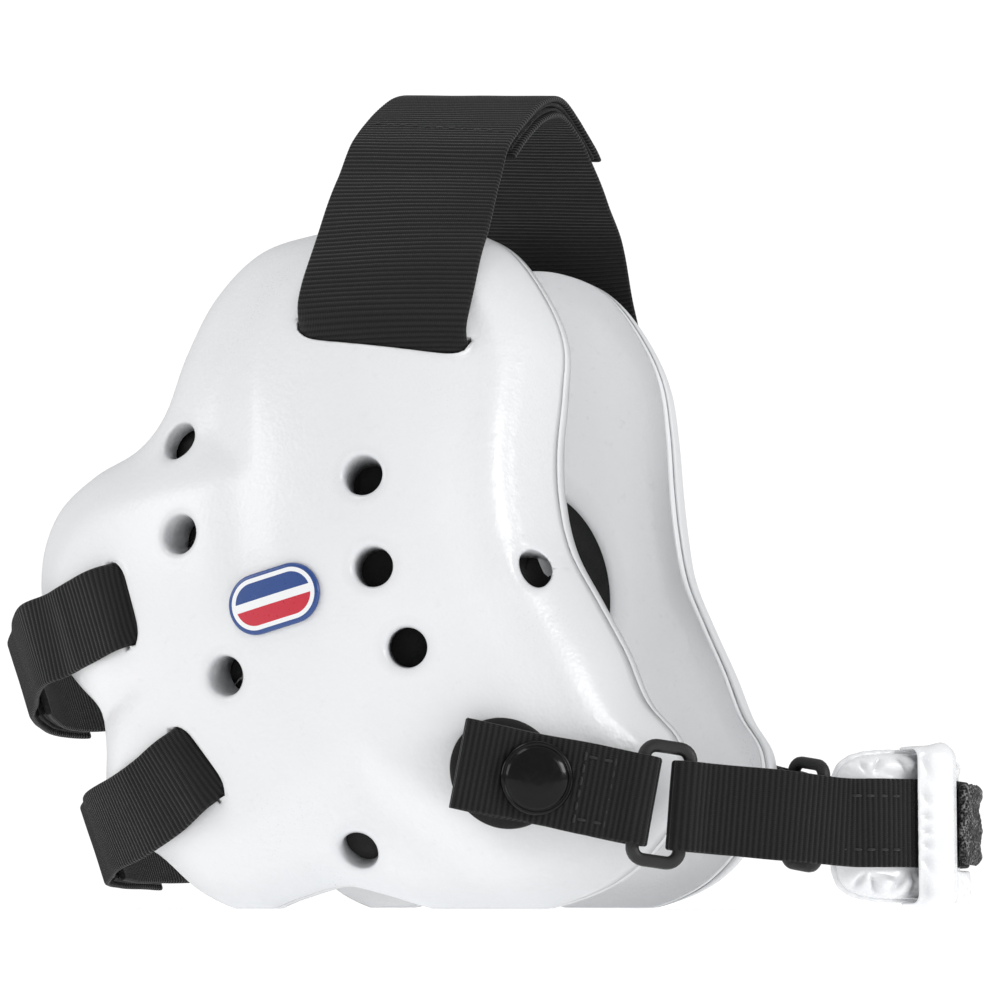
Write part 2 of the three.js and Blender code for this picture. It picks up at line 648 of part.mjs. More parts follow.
const slots = [];
const linerSlots = [];
for (const strap of STRAPS) {
  const path = strapPath(strap.points, strap.slotLine, strap.middleLine);
  const [overlapFrom, overlapTo] = strap.overlap;
  const outer = halfLift(strap, 1);
  const inner = halfLift(strap, -1);
  const { name, width, flapFrom } = strap;
  const flapStart = flapFrom + FLAP_CUT;
  const tail = path.half - TAIL_ROOM;
  add(`${name}_strap_right`, webbing(path, -tail, flapFrom, outer, width, WEB), WEB_BLACK);
  add(`${name}_strap_flap`, webbing(path, flapStart, overlapTo, outer, width, WEB), WEB_BLACK);
  add(`${name}_strap_left`, webbing(path, overlapFrom, tail, inner, width, WEB), WEB_BLACK);
  const hookLift = (s) => outer(s) - WEB / 2 - CLEARANCE - FASTENER / 2;
  const loopLift = (s) => inner(s) + WEB / 2 + CLEARANCE + FASTENER / 2;
  const patch = width - 2;
  add(`${name}_hook_patch`, webbing(path, overlapFrom + 2, flapFrom, hookLift, patch, FASTENER),
    FASTENER_BLACK);
  add(`${name}_flap_hook_patch`, webbing(path, flapStart, overlapTo - 2, hookLift, patch, FASTENER),
    FASTENER_BLACK);
  add(`${name}_loop_patch`, webbing(path, overlapFrom + 2, overlapTo - 1, loopLift, patch, FASTENER),
    LOOP_GREY);
  const slack = 2 * CLEARANCE + 0.4;
  const pocket = (depth) => toSolid(webbing(path, overlapTo + 20, path.half, () => 0, width + slack, depth));
  slots.push(pocket(WEB + slack));
  linerSlots.push(pocket(LAYER_GAP + 1));
}

const snapCuts = [bore(1.6 + CLEARANCE), toSolid(studWasher(CLEARANCE))];
addPair('guard_shell', outerShell([...slots, ...snapCuts]), FOAM_WHITE);
addPair('guard_liner', liner([...linerSlots, bore(WASHER.radius + 1)]), LINER_BLACK);
addPair('guard_pad', innerPad([...slots, snapCuts[1]]), FOAM_WHITE);
addPair('guard_badge', badge(), BADGE_BLUE);
addPair('snap_patch', onGuard(patchShape(), 1.2, [bore(1.6 + CLEARANCE)]), LINER_BLACK);
addPair('snap_stud', snapStud(), SNAP_METAL);
addPair('stud_washer', studWasher(), SNAP_METAL);
addPair('snap_socket', snapSocket(), SNAP_METAL);
addPair('snap_cap', snapCap(), SNAP_BLACK);
addPair('chin_tab', tab(), WEB_BLACK);
addPair('strap_ring', ring(), RING_BLACK);

add('chin_strap', chinStrap(), WEB_BLACK);
add('chin_cup_pad', sector(CUP_PAD.inner, CUP_PAD.outer, CUP_PAD.centre - CUP_PAD.half,
  CUP_PAD.centre + CUP_PAD.half, CUP_PAD.bottom, CUP_PAD.top, 2), VINYL_WHITE);
add('chin_cup_keeper', keeper(), VINYL_WHITE);
add('chin_cup_loop', sector(CUP_LOOP.inner, CUP_LOOP.outer, CUP_LOOP.from, CUP_LOOP.to,
  CHIN.z - CUP_LOOP.half, CHIN.z + CUP_LOOP.half), LOOP_GREY);

// Centre the part on X = 0.
const centre = new THREE.Box3().setFromObject(headgear).getCenter(new THREE.Vector3());
for (const mesh of headgear.children) {
  mesh.geometry.translate(-centre.x, 0, 0);
}

export default headgear;
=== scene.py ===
import json
import math

import bpy
import numpy as np
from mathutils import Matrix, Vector, geometry


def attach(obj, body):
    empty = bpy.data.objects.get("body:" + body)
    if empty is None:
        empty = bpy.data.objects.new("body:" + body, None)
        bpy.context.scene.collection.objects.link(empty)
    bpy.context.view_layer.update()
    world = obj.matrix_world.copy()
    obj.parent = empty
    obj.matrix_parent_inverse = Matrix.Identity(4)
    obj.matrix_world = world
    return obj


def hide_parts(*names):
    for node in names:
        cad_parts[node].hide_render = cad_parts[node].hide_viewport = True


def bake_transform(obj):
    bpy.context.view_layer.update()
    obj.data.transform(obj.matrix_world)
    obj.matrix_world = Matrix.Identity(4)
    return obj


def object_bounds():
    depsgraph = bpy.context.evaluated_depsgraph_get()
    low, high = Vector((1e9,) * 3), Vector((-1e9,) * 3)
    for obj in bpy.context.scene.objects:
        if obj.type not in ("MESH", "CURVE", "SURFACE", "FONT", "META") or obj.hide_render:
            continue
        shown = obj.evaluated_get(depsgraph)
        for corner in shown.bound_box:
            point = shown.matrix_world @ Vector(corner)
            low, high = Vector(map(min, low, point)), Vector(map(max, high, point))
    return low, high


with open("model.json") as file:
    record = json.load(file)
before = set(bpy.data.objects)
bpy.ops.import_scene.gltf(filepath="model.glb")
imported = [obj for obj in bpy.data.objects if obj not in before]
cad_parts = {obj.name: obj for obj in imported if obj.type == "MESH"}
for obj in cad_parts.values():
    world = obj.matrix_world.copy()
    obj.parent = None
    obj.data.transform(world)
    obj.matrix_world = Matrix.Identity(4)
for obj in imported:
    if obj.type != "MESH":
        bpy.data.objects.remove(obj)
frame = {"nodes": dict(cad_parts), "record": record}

# Wrestling headgear: white foam ear guards, ribbed webbing straps, snaps and a padded chin cup.
# Shapes are worked out in millimetres on the wearer's left side, as the CAD does, and
# mirrored for the right side. put() turns them into metres in the CAD's frame.

CAD_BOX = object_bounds()
MM = 0.001

# ---- Driving dimensions, in millimetres (those of the CAD) ----
CLEARANCE = 0.3
CUP_X, CUP_Z, CUP_REACH = -8, 70, 73
CUP_REAR, CUP_ABOVE, CUP_BELOW = 0.0030, 0.0035, 0.0030
FRONT_LOW, FRONT_HIGH, FRONT_FROM, FRONT_TO = 0.0062, 0.0108, 30, 80
ROLL_DROP, ROLL_WIDTH = 8, 16
RIDGE_HEIGHT, RIDGE_FADE = 5, 14
HUB_X, HUB_Z, HUB_HALF = -3, 70, 26
RIDGE_ARMS = [(-6, 118, 24), (-62, 70, 17), (-46, 32, 17), (34, 28, 17)]  # x, z, half width
SHELL_THICKNESS, LAYER_GAP = 4.3, 2.6
PAD_RIM, PAD_EAR = 5, 10
EAR_X, EAR_Z, EAR_HALF_WIDTH, EAR_HALF_HEIGHT = -20, 74, 27, 30
VENT_RADIUS = 4.25
VENTS = [(-3.7, 91.5), (-0.8, 71.9), (6.2, 54.8), (-47.4, 80.6),
         (-35.7, 49.7), (29.6, 71.9), (-52, 102), (-9.7, 12.6)]
OUTLINE = [
    (-6, 151.5), (-27, 150.6), (-42, 146.8), (-51.5, 136.6), (-57, 123), (-61, 109), (-67, 102.5),
    (-79, 97.5), (-89.5, 90.5), (-94.5, 81), (-95, 69), (-91.5, 58), (-83, 49.2), (-77, 43.5),
    (-75.8, 36), (-77, 25), (-72.5, 16.5), (-62, 10.5), (-53.5, 3.2), (-42, -0.9), (-30.5, 2.2),
    (-18.4, 4.9), (-8, 2.8), (4, -0.5), (18, -0.9), (29, 1.2), (39.5, 6), (47.5, 13.5), (53.8, 24.5),
    (53, 35.8), (47, 44.3), (42.6, 54.9), (37, 66), (31.8, 77), (29.5, 88), (28.7, 98.6),
    (28.8, 111.8), (28, 123), (23.5, 133.6), (14.5, 145.2), (3.5, 150.3)]
BADGE_X, BADGE_Z, BADGE_LENGTH, BADGE_HEIGHT, BADGE_TURN = -22.9, 65.6, 22, 13, 14

WEB, THIN_WEB, FASTENER = 1.4, 1.2, 0.7
CROWN_WIDTH, NARROW_WIDTH = 38, 19
LAYER_LIFT = (WEB + 2 * FASTENER + 3 * CLEARANCE) / 2
TAIL_ROOM = 3
CROWN_X = -3.4

SNAP_X, SNAP_Z, SNAP_TURN = 29.7, 27.2, 30
TAB_SINK, RING_SINK, STRAP_SINK = 11, 8, 5
TAB_STANDOFF, SNAP_TO_RING, TAB_TAIL = 6.6, 27.5, 16.5
RING_WIDTH, RING_HEIGHT, RING_BAR, RING_BAR_X = 12, 26, 2.4, 4.8
BAR_LOOP = 2.7
FOLD_GAP = THIN_WEB / 2 + CLEARANCE / 2
CHIN_X, CHIN_RADIUS, CHIN_Z = 67.6, 39.7, 18.3
PAD_INNER, PAD_OUTER, PAD_BOTTOM, PAD_TOP, PAD_CENTRE, PAD_HALF = 30.6, 38.6, 2, 33.4, -13.5, 44
KEEPER_INNER, KEEPER_OUTER, KEEPER_FROM, KEEPER_TO, KEEPER_FLANGE, KEEPER_REACH = (
    40.7, 42.3, -31.5, -13.0, 1.2, 36)
LOOP_INNER, LOOP_OUTER, LOOP_FROM, LOOP_TO, LOOP_HALF = 40.7, 42.7, -9, 20, 8.5

# ---- Finish dimensions ----
RIB_PITCH, RIB_HEIGHT = 1.25, 0.16
SHELL_EDGE, PAD_EDGE, VENT_EDGE, SLOT_EDGE = 3.4, 3.2, 1.5, 0.9  # radii of rounded lips
MESH_STEP = 2.4  # of the guards' faces

joints = {j["name"]: j for j in frame["record"]["behaviour"]["joints"]}
SHIFT_X = joints["chin_swivel"]["pos_m"][0] / MM - SNAP_X  # the CAD is centred on X = 0


# ---- Small maths ----

def smooth(x, low, high):
    t = np.clip((x - low) / (high - low), 0, 1)
    return t * t * (3 - 2 * t)


def mix(a, b, t):
    return a + (b - a) * t


def unit(v):
    v = np.asarray(v, float)
    return v / np.maximum(np.linalg.norm(v, axis=-1, keepdims=True), 1e-9)


def spline(points, closed=False, per=24):
    """A centripetal Catmull-Rom curve through the points, as a fine polyline."""
    p = np.asarray(points, float)
    count = len(p)
    if closed:
        ring = [p[(i - 1) % count] for i in range(count + 3)]
        spans = count
    else:
        ring = [2 * p[0] - p[1], *p, 2 * p[-1] - p[-2]]
        spans = count - 1
    t = np.linspace(0, 1, per, endpoint=False)[:, None]
    out = []
    for i in range(spans):
        a, b, c, d = ring[i:i + 4]
        d0, d1, d2 = (max(np.linalg.norm(v - u) ** 0.5, 1e-4) for u, v in ((a, b), (b, c), (c, d)))
        m1 = ((b - a) / d0 - (c - a) / (d0 + d1) + (c - b) / d1) * d1
        m2 = ((c - b) / d1 - (d - b) / (d1 + d2) + (d - c) / d2) * d1
        out.append(b + m1 * t + (-3 * b + 3 * c - 2 * m1 - m2) * t ** 2
                   + (2 * b - 2 * c + m1 + m2) * t ** 3)
    out = np.concatenate(out)
    return out if closed else np.vstack([out, p[-1]])


def resample(line, count, closed=False):
    """Evenly spaced points along a polyline."""
    pts = np.vstack([line, line[:1]]) if closed else line
    run = np.concatenate([[0], np.cumsum(np.linalg.norm(np.diff(pts, axis=0), axis=1))])
    at = np.linspace(0, run[-1], count, endpoint=not closed)
    return np.stack([np.interp(at, run, pts[:, k]) for k in range(pts.shape[1])], 1)


def length_of(line):
    return float(np.linalg.norm(np.diff(line, axis=0), axis=1).sum())


def wobble(points, size, seed=0):
    """Smooth pseudo-random values in -1..1 at points, with features about size across."""
    p = np.asarray(points, float) / size
    total = np.zeros(len(p))
    rng = np.random.default_rng(seed)
    for _ in range(6):
        k = rng.normal(size=p.shape[1])
        total += np.sin(p @ (k / np.linalg.norm(k)) * rng.uniform(1.5, 3.5) + rng.uniform(0, 6.28))
    return total / 3.5


# ---- Meshes ----

def put(name, verts, faces, side=1, uv=None, flat=False):
    """Makes an object from vertices in millimetres on the left side (side 1) or mirrored (-1)."""
    v = np.array(verts, float)
    v[:, 0] += SHIFT_X
    v[:, 1] *= side
    faces = [tuple(int(i) for i in f) for f in faces]
    if side < 0:
        faces = [f[::-1] for f in faces]
    mesh = bpy.data.meshes.new(name)
    mesh.from_pydata((v * MM).tolist(), [], faces)
    if uv is not None:
        layer = mesh.uv_layers.new(name="weave")
        index = np.empty(len(mesh.loops), np.int32)
        mesh.loops.foreach_get("vertex_index", index)
        layer.data.foreach_set("uv", np.asarray(uv, np.float32)[index].ravel())
    if not flat:
        mesh.polygons.foreach_set("use_smooth", [True] * len(mesh.polygons))
    mesh.update()
    obj = bpy.data.objects.new(name, mesh)
    bpy.context.scene.collection.objects.link(obj)
    return obj


def note(obj, name, values):
    """Keeps a value for each vertex, for its material to read."""
    layer = obj.data.attributes.new(name, "FLOAT", "POINT")
    layer.data.foreach_set("value", np.asarray(values, np.float32))


def grid_faces(rows, cols, wrap=False):
    """Quads of a grid of vertices; wrap joins the last column to the first."""
    i, k = np.meshgrid(np.arange(rows - 1), np.arange(cols if wrap else cols - 1), indexing="ij")
    a = (i * cols + k).ravel()
    b = (i * cols + (k + 1) % cols).ravel()
    return np.stack([a, b, b + cols, a + cols], 1).tolist()


def capped_tube(strips, count):
    """Faces of a closed tube: strips of count points side by side, with a cap at both ends."""
    faces = []
    for i in range(strips):
        a, b = i * count, (i + 1) % strips * count
        faces += [(a + k, a + k + 1, b + k + 1, b + k) for k in range(count - 1)]
    faces.append(tuple(i * count for i in range(strips)))
    faces.append(tuple(i * count + count - 1 for i in range(strips - 1, -1, -1)))
    return faces


def lathe(name, profile, at, side, segments=48):
    """A turned piece from [radius, distance] points, on the second axis of a frame."""
    origin, along, out, across = at
    turn = np.linspace(0, 2 * math.pi, segments, endpoint=False)
    verts, rows = [], []
    for r, y in profile:
        rows.append(len(verts))
        ring = origin + out * y + r * (np.cos(turn)[:, None] * across + np.sin(turn)[:, None] * along)
        verts.extend(ring if r > 0 else ring[:1])
    faces = []
    for n, (row, nxt) in enumerate(zip(rows, rows[1:])):
        for k in range(segments):
            m = (k + 1) % segments
            if profile[n][0] == 0:
                faces.append((row, nxt + m, nxt + k))
            elif profile[n + 1][0] == 0:
                faces.append((row + k, row + m, nxt))
            else:
                faces.append((row + k, row + m, nxt + m, nxt + k))
    return put(name, verts, faces, side)


def rounded(profile, radius, steps=4):
    """A turned profile with its corners rounded."""
    p = np.asarray(profile, float)
    out = [p[0]]
    for a, b, c in zip(p, p[1:], p[2:]):
        r = min(radius, np.linalg.norm(b - a) * 0.45, np.linalg.norm(c - b) * 0.45)
        start, end = b + unit(a - b) * r, b + unit(c - b) * r
        for t in np.linspace(0, 1, steps):
            out.append(mix(mix(start, b, t), mix(b, end, t), t))
    out.append(p[-1])
    return [tuple(q) for q in out]


# ---- The guard's faces ----

RIM = resample(spline([(x, z) for x, z in OUTLINE], closed=True), 330, closed=True)
RIM[:, 1] = np.maximum(RIM[:, 1], 0)


def distance_to(x, z, ring):
    """How far each point is from a closed outline."""
    p = np.stack([x, z], 1)
    best = np.full(len(p), np.inf)
    for a, b in zip(ring, np.roll(ring, -1, axis=0)):
        ab = b - a
        t = np.clip(((p - a) @ ab) / max(ab @ ab, 1e-9), 0, 1)
        best = np.minimum(best, np.linalg.norm(p - a - t[:, None] * ab, axis=1))
    return best


def inside(x, z, ring):
    """True for the points within a closed outline."""
    hit = np.zeros(len(x), bool)
    for (ax, az), (bx, bz) in zip(ring, np.roll(ring, -1, axis=0)):
        if az != bz:
            cross = (az > z) != (bz > z)
            hit ^= cross & (x < (bx - ax) * (z - az) / (bz - az) + ax)
    return hit


def base_face(x, z):
    x, z = np.atleast_1d(np.asarray(x, float)), np.atleast_1d(np.asarray(z, float))
    dx, dz = x - CUP_X, z - CUP_Z
    high = smooth(z, FRONT_FROM, FRONT_TO)
    bend_x = np.where(dx < 0, CUP_REAR, mix(FRONT_LOW, FRONT_HIGH, high))
    bend_z = np.where(dz > 0, CUP_ABOVE, CUP_BELOW)
    rim = np.where(inside(x, z, RIM), distance_to(x, z, RIM), 0)
    from_rim = 1 - np.minimum(rim / ROLL_WIDTH, 1)
    roll = ROLL_DROP * (1 - np.sqrt(1 - from_rim ** 2))
    return CUP_REACH - bend_x * dx * dx - bend_z * dz * dz - roll


def outer_face(x, z):
    x, z = np.atleast_1d(np.asarray(x, float)), np.atleast_1d(np.asarray(z, float))
    outside = np.full(len(x), np.inf)
    for ax, az, half in RIDGE_ARMS:
        dx, dz = ax - HUB_X, az - HUB_Z
        t = np.clip(((x - HUB_X) * dx + (z - HUB_Z) * dz) / (dx * dx + dz * dz), 0, 1)
        outside = np.minimum(
            outside, np.hypot(x - HUB_X - t * dx, z - HUB_Z - t * dz) - mix(HUB_HALF, half, t))
    return base_face(x, z) + RIDGE_HEIGHT * (1 - smooth(outside, 0, RIDGE_FADE))


def outer_at(x, z):
    return float(outer_face(x, z)[0])


def gap_at(x, z):
    return float(base_face(x, z)[0]) - SHELL_THICKNESS - LAYER_GAP / 2


def outward_at(x, z):
    slope_x = outer_at(x + 0.5, z) - outer_at(x - 0.5, z)
    slope_z = outer_at(x, z + 0.5) - outer_at(x, z - 0.5)
    return unit([-slope_x, 1, -slope_z])


# ---- Strap paths ----

def on_shell(x, z, lift=1.3):
    return (x, outer_at(x, z) + lift, z)


def in_gap(x, z):
    return (x, gap_at(x, z), z)


def in_shell(x, z):
    return (x, (outer_at(x, z) + float(base_face(x, z)[0]) - SHELL_THICKNESS) / 2, z)


class Path:
    """A strap's mean path over the head; s runs from the mid-plane towards the left."""

    def __init__(self, points, slot_line, middle_line):
        left = np.array(points, float)
        right = (left[:-1] * (1, -1, 1))[::-1]
        line = spline(np.vstack([left, right]), per=60)
        run = np.concatenate([[0], np.cumsum(np.linalg.norm(np.diff(line, axis=0), axis=1))])
        self.length = run[-1]
        self.half = self.length / 2
        self.line, self.run = line, run
        self.slot, self.middle = unit(slot_line), unit(middle_line)

    def point(self, s):
        at = np.clip(self.half - np.asarray(s, float), 0, self.length)
        return np.stack([np.interp(at, self.run, self.line[:, k]) for k in range(3)], -1)

    def frame(self, s):
        s = np.asarray(s, float)
        along = unit(self.point(s - 0.4) - self.point(s + 0.4))
        share = smooth(np.abs(s), self.length * 0.1, self.length * 0.4)[:, None]
        across = mix(self.middle, self.slot, share)
        across = unit(across - along * (across * along).sum(1, keepdims=True))
        return self.point(s), across, unit(np.cross(along, across))


STRAPS = {
    "crown": dict(
        width=CROWN_WIDTH, overlap=(-38, 28), flap=4,
        path=Path(
            [in_gap(CROWN_X, 102), in_gap(CROWN_X, 112), in_shell(CROWN_X, 119), on_shell(CROWN_X, 126),
             on_shell(CROWN_X, 135), (CROWN_X, 56.6, 146), (CROWN_X, 46.6, 158), (CROWN_X, 34.6, 168.6),
             (CROWN_X, 22, 176.9), (CROWN_X, 11, 182.4), (CROWN_X, 0, 184.8)],
            (1, 0, 0), (1, 0, 0))),
    "upper_rear": dict(
        width=NARROW_WIDTH, overlap=(-30, 12), flap=-8,
        path=Path(
            [in_gap(-43, 71.5), in_gap(-52, 69), in_shell(-59.5, 67), on_shell(-66.5, 65),
             on_shell(-75, 62.3), on_shell(-82, 60.3, 2), (-89.6, 57, 58.6), (-95.4, 49.4, 56.6),
             (-101.8, 37, 54), (-107.2, 22, 51.6), (-110.2, 9, 50.2), (-110.9, 0, 49.9)],
            (-0.33, 0, 0.944), (-0.335, 0, 0.942))),
    "lower_rear": dict(
        width=NARROW_WIDTH, overlap=(-28, 12), flap=-8,
        path=Path(
            [in_gap(-28.5, 44), in_gap(-35.5, 38.3), in_shell(-41.5, 33.4), on_shell(-47.5, 28.8),
             on_shell(-55, 24.2), on_shell(-64, 20.3, 1.8), (-75.8, 49.6, 17.2), (-82.4, 38, 15.6),
             (-87.3, 24.5, 14.6), (-90.1, 12, 14.1), (-90.9, 0, 14)],
            (-0.626, 0, 0.78), (-0.335, 0, 0.942))),
}


for strap in STRAPS.values():
    # How far the strap's middle stands off the guard's face along its last stretch.
    way = np.linspace(strap["path"].half - 45, strap["path"].half, 300)
    place, _, _ = strap["path"].frame(way)
    strap["way"] = way
    strap["stand"] = place[:, 1] - outer_face(place[:, 0], place[:, 2])


def late(strap, a):
    """How much later than its path a strap goes down into its slot, across its width."""
    half = strap["width"] / 2
    corner = 2.2 * np.clip(np.abs(a) / half, 0, 1) ** (half / 1.6)
    return (2.4 + 0.165 * a if half > 15 else 3.2) - corner


def hug(strap, s, a):
    """How far the strap's face moves outwards, to lie on the guard and to enter its slot late."""
    ss = np.abs(s)
    over_guard = smooth(ss, strap["path"].half - 44, strap["path"].half - 36)
    way, stand = strap["way"], strap["stand"]
    move = (np.interp(ss - late(strap, a), way, stand) - np.interp(ss, way, stand)) * over_guard
    if strap["width"] > 30:
        dx, middle = CROWN_X + a - CUP_X, CROWN_X - CUP_X
        bend = np.where(dx > 0, FRONT_HIGH, CUP_REAR) * dx * dx - FRONT_HIGH * middle * middle
        move = move - bend * smooth(ss, strap["path"].half - 80, strap["path"].half - 46)
    return move


def lean(strap, s, a):
    """The crown strap tips forwards a little between the guards."""
    free = 1 - smooth(np.abs(s), strap["path"].half - 75, strap["path"].half - 45)
    return (0.075 if strap["width"] > 30 else 0) * a * free


# ---- Webbing ----

def ribbon(name, s, centre, across, out, width, thickness, side=1, ribs=RIB_HEIGHT, pitch=RIB_PITCH,
           columns=9, strap=None, seed=3):
    """Webbing along rows of centres, with woven ribs across it and rounded selvedges."""
    s = np.asarray(s, float)
    half, edge = width / 2, thickness / 2
    flat = np.linspace(-half + edge, half - edge, columns)
    turn = np.radians([-60, -20, 20, 60])
    # Around the section: top from right to left, left edge, bottom, right edge.
    inset = edge - edge * np.cos(turn)
    a = np.concatenate([flat[::-1], -half + inset, flat, half - inset])
    o = np.concatenate([np.ones(columns), -np.sin(turn), -np.ones(columns), np.sin(turn)])
    rib = ribs * (0.5 + 0.5 * np.cos(2 * math.pi * s / pitch)) - ribs
    rib = rib[:, None] * np.ones(len(a))
    uneven = wobble(np.stack([s, s * 0.37], 1), 9, seed) * 0.12
    a2 = a[None, :] * (1 + uneven[:, None] / half)
    height = o[None, :] * (edge + rib)
    spots = np.stack([np.repeat(s, len(a)), np.tile(a, len(s))], 1)
    height = height + 0.06 * wobble(spots, 6, seed + 1).reshape(len(s), -1)
    verts = centre[:, None, :] + across[:, None, :] * a2[..., None] + out[:, None, :] * height[..., None]
    if strap:
        verts[..., 1] += np.sign(s)[:, None] * hug(strap, s[:, None], a[None, :])
        verts[..., 2] -= lean(strap, s[:, None], a[None, :])
    n = len(a)
    verts = verts.reshape(-1, 3)
    faces = grid_faces(len(s), n, wrap=True)
    faces = [f[::-1] for f in faces]
    last = (len(s) - 1) * n
    faces.append(tuple(range(n)))
    faces.append(tuple(range(last + n - 1, last - 1, -1)))
    uv = np.stack([np.repeat(s, n) / 10, np.tile(a, len(s)) / 10], 1)
    obj = put(name, verts, faces, side, uv)
    return obj


def outward_ok(obj):
    """Turns every face outwards if the closed mesh is inside out."""
    mesh = obj.data
    n = len(mesh.polygons)
    centres, normals, areas = (np.empty(n * 3), np.empty(n * 3), np.empty(n))
    mesh.polygons.foreach_get("center", centres)
    mesh.polygons.foreach_get("normal", normals)
    mesh.polygons.foreach_get("area", areas)
    volume = ((centres.reshape(-1, 3) * normals.reshape(-1, 3)).sum(1) * areas).sum()
    if volume < 0:
        mesh.flip_normals()
    return obj


def layer_lift(strap, layer):
    reach = max(abs(v) for v in strap["overlap"])
    return lambda s: layer * LAYER_LIFT * (1 - smooth(np.abs(s), reach, reach + 14))


def strap_piece(name, strap, start, end, lift, width, thickness, **options):
    count = max(int(abs(end - start) / (RIB_PITCH / 4)), 8)
    s = np.linspace(start, end, count)
    point, across, out = strap["path"].frame(s)
    return outward_ok(ribbon(
        name, s, point + out * lift(s)[:, None], across, out, width, thickness, strap=strap, **options))


def stitches(name, places, along, out, side=1, length=2.2, radius=0.27):
    """A row of thread stitches: short rounded lengths lying on the webbing."""
    verts, faces = [], []
    turn = np.linspace(0, 2 * math.pi, 6, endpoint=False)
    stations = [(-0.5, 0.35), (-0.3, 0.9), (0, 1), (0.3, 0.9), (0.5, 0.35)]
    for p, d, n in zip(places, along, out):
        w = np.cross(d, n)
        first = len(verts)
        for t, r in stations:
            dip = -radius * 1.1 * (2 * abs(t)) ** 3
            for c in turn:
                rise = n * (radius * r * math.sin(c) + dip)
                verts.append(p + d * t * length + rise + w * radius * r * math.cos(c))
        faces += [tuple(first + i for i in f) for f in grid_faces(len(stations), 6, wrap=True)]
        last = first + 6 * (len(stations) - 1)
        faces.append(tuple(range(first + 5, first - 1, -1)))
        faces.append(tuple(range(last, last + 6)))
    return outward_ok(put(name, verts, faces, side))


# ---- Materials ----

class Finish:
    """A procedural material, built up node by node."""

    def __init__(self, name):
        self.material = bpy.data.materials.new(name)
        self.material.use_nodes = True
        self.tree = self.material.node_tree
        self.shader = self.tree.nodes["Principled BSDF"]
        self.where = self.node("ShaderNodeTexCoord").outputs["Object"]

    def node(self, kind, **inputs):
        made = self.tree.nodes.new(kind)
        for key, value in inputs.items():
            self.feed(made, key.replace("_", " "), value)
        return made

    def feed(self, node, key, value):
        socket = node.inputs[int(key)] if key.isdigit() else node.inputs[key]
        if isinstance(value, bpy.types.NodeSocket):
            self.tree.links.new(value, socket)
        else:
            socket.default_value = value

    def set(self, **inputs):
        for key, value in inputs.items():
            self.feed(self.shader, key.replace("_", " "), value)
        return self

    def math(self, operation, a, b=0.0, c=0.0):
        made = self.tree.nodes.new("ShaderNodeMath")
        made.operation = operation
        for i, value in enumerate((a, b, c)):
            self.feed(made, str(i), value)
        return made.outputs[0]

    def noise(self, size, detail=3, where=None, rough=0.5):
        """Cloudy values with features about size millimetres across."""
        made = self.node("ShaderNodeTexNoise", Vector=where or self.where, Scale=1 / (size * MM),
                         Detail=detail, Roughness=rough)
        return made.outputs["Fac"]

    def cells(self, size, where=None):
        made = self.node("ShaderNodeTexVoronoi", Vector=where or self.where, Scale=1 / (size * MM))
        return made.outputs["Distance"]

    def ramp(self, value, *stops):
        made = self.node("ShaderNodeValToRGB", Fac=value)
        elements = made.color_ramp.elements
        while len(elements) < len(stops):
            elements.new(1)
        for element, (at, colour) in zip(elements, stops):
            element.position = at
            element.color = (*colour, 1) if isinstance(colour, tuple) else (colour, colour, colour, 1)
        return made.outputs["Color"]

    def blend(self, a, b, share, kind="MIX"):
        made = self.tree.nodes.new("ShaderNodeMix")
        made.data_type = "RGBA"
        made.blend_type = kind
        for socket, value in zip((made.inputs[0], made.inputs[6], made.inputs[7]), (share, a, b)):
            if isinstance(value, bpy.types.NodeSocket):
                self.tree.links.new(value, socket)
            elif isinstance(value, tuple):
                socket.default_value = (*value, 1)
            else:
                socket.default_value = value
        return made.outputs[2]

    def range(self, value, low, high, to_low=0.0, to_high=1.0):
        made = self.node("ShaderNodeMapRange", Value=value, From_Min=low, From_Max=high,
                         To_Min=to_low, To_Max=to_high)
        return made.outputs[0]

    def noted(self, name):
        made = self.tree.nodes.new("ShaderNodeAttribute")
        made.attribute_name = name
        return made.outputs["Fac"]

    def weave(self):
        """The distances along and across webbing, in millimetres."""
        made = self.tree.nodes.new("ShaderNodeUVMap")
        made.uv_map = "weave"
        parts = self.node("ShaderNodeSeparateXYZ", Vector=made.outputs[0])
        return self.math("MULTIPLY", parts.outputs[0], 10), self.math("MULTIPLY", parts.outputs[1], 10)

    def bump(self, *layers):
        """Bumps from (height, depth in millimetres) layers, one on the other."""
        normal = None
        for height, depth in layers:
            made = self.node("ShaderNodeBump", Height=height, Strength=1.0, Distance=depth * MM)
            if normal is not None:
                self.feed(made, "Normal", normal)
            normal = made.outputs[0]
        self.feed(self.shader, "Normal", normal)
        return self


def foam_skin(name="foam_skin", white=0.76):
    """White vinyl skin over foam: fine pebble grain, soft gloss and painted shade greying it near its edges and
    vents.
    """
    f = Finish(name)
    pebble = f.cells(0.9)
    cloud = f.noise(38, 4)
    fine = f.noise(2.2, 5)
    near = f.range(f.noted("from_edge"), 0, 7, 1, 0)
    colour = f.ramp(cloud, (0.3, (white - 0.035, white - 0.025, white - 0.01)),
                    (0.7, (white, white + 0.005, white + 0.015)))
    # Painted shade: grey blended in within 7 mm of the rims, the vents and the ear opening.
    colour = f.blend(colour, (0.62, 0.635, 0.655), f.math("MULTIPLY", near, 0.55))
    colour = f.blend(colour, (0.64, 0.65, 0.66), f.range(fine, 0.62, 0.8, 0, 0.35))
    rough = f.math("ADD", f.range(cloud, 0.3, 0.7, 0.27, 0.35), f.range(pebble, 0, 0.6, -0.03, 0.05))
    f.set(Base_Color=colour, Roughness=rough, Coat_Weight=0.25, Coat_Roughness=0.2)
    return f.bump((cloud, 0.5), (f.noise(6, 3), 0.16), (pebble, 0.05)).material


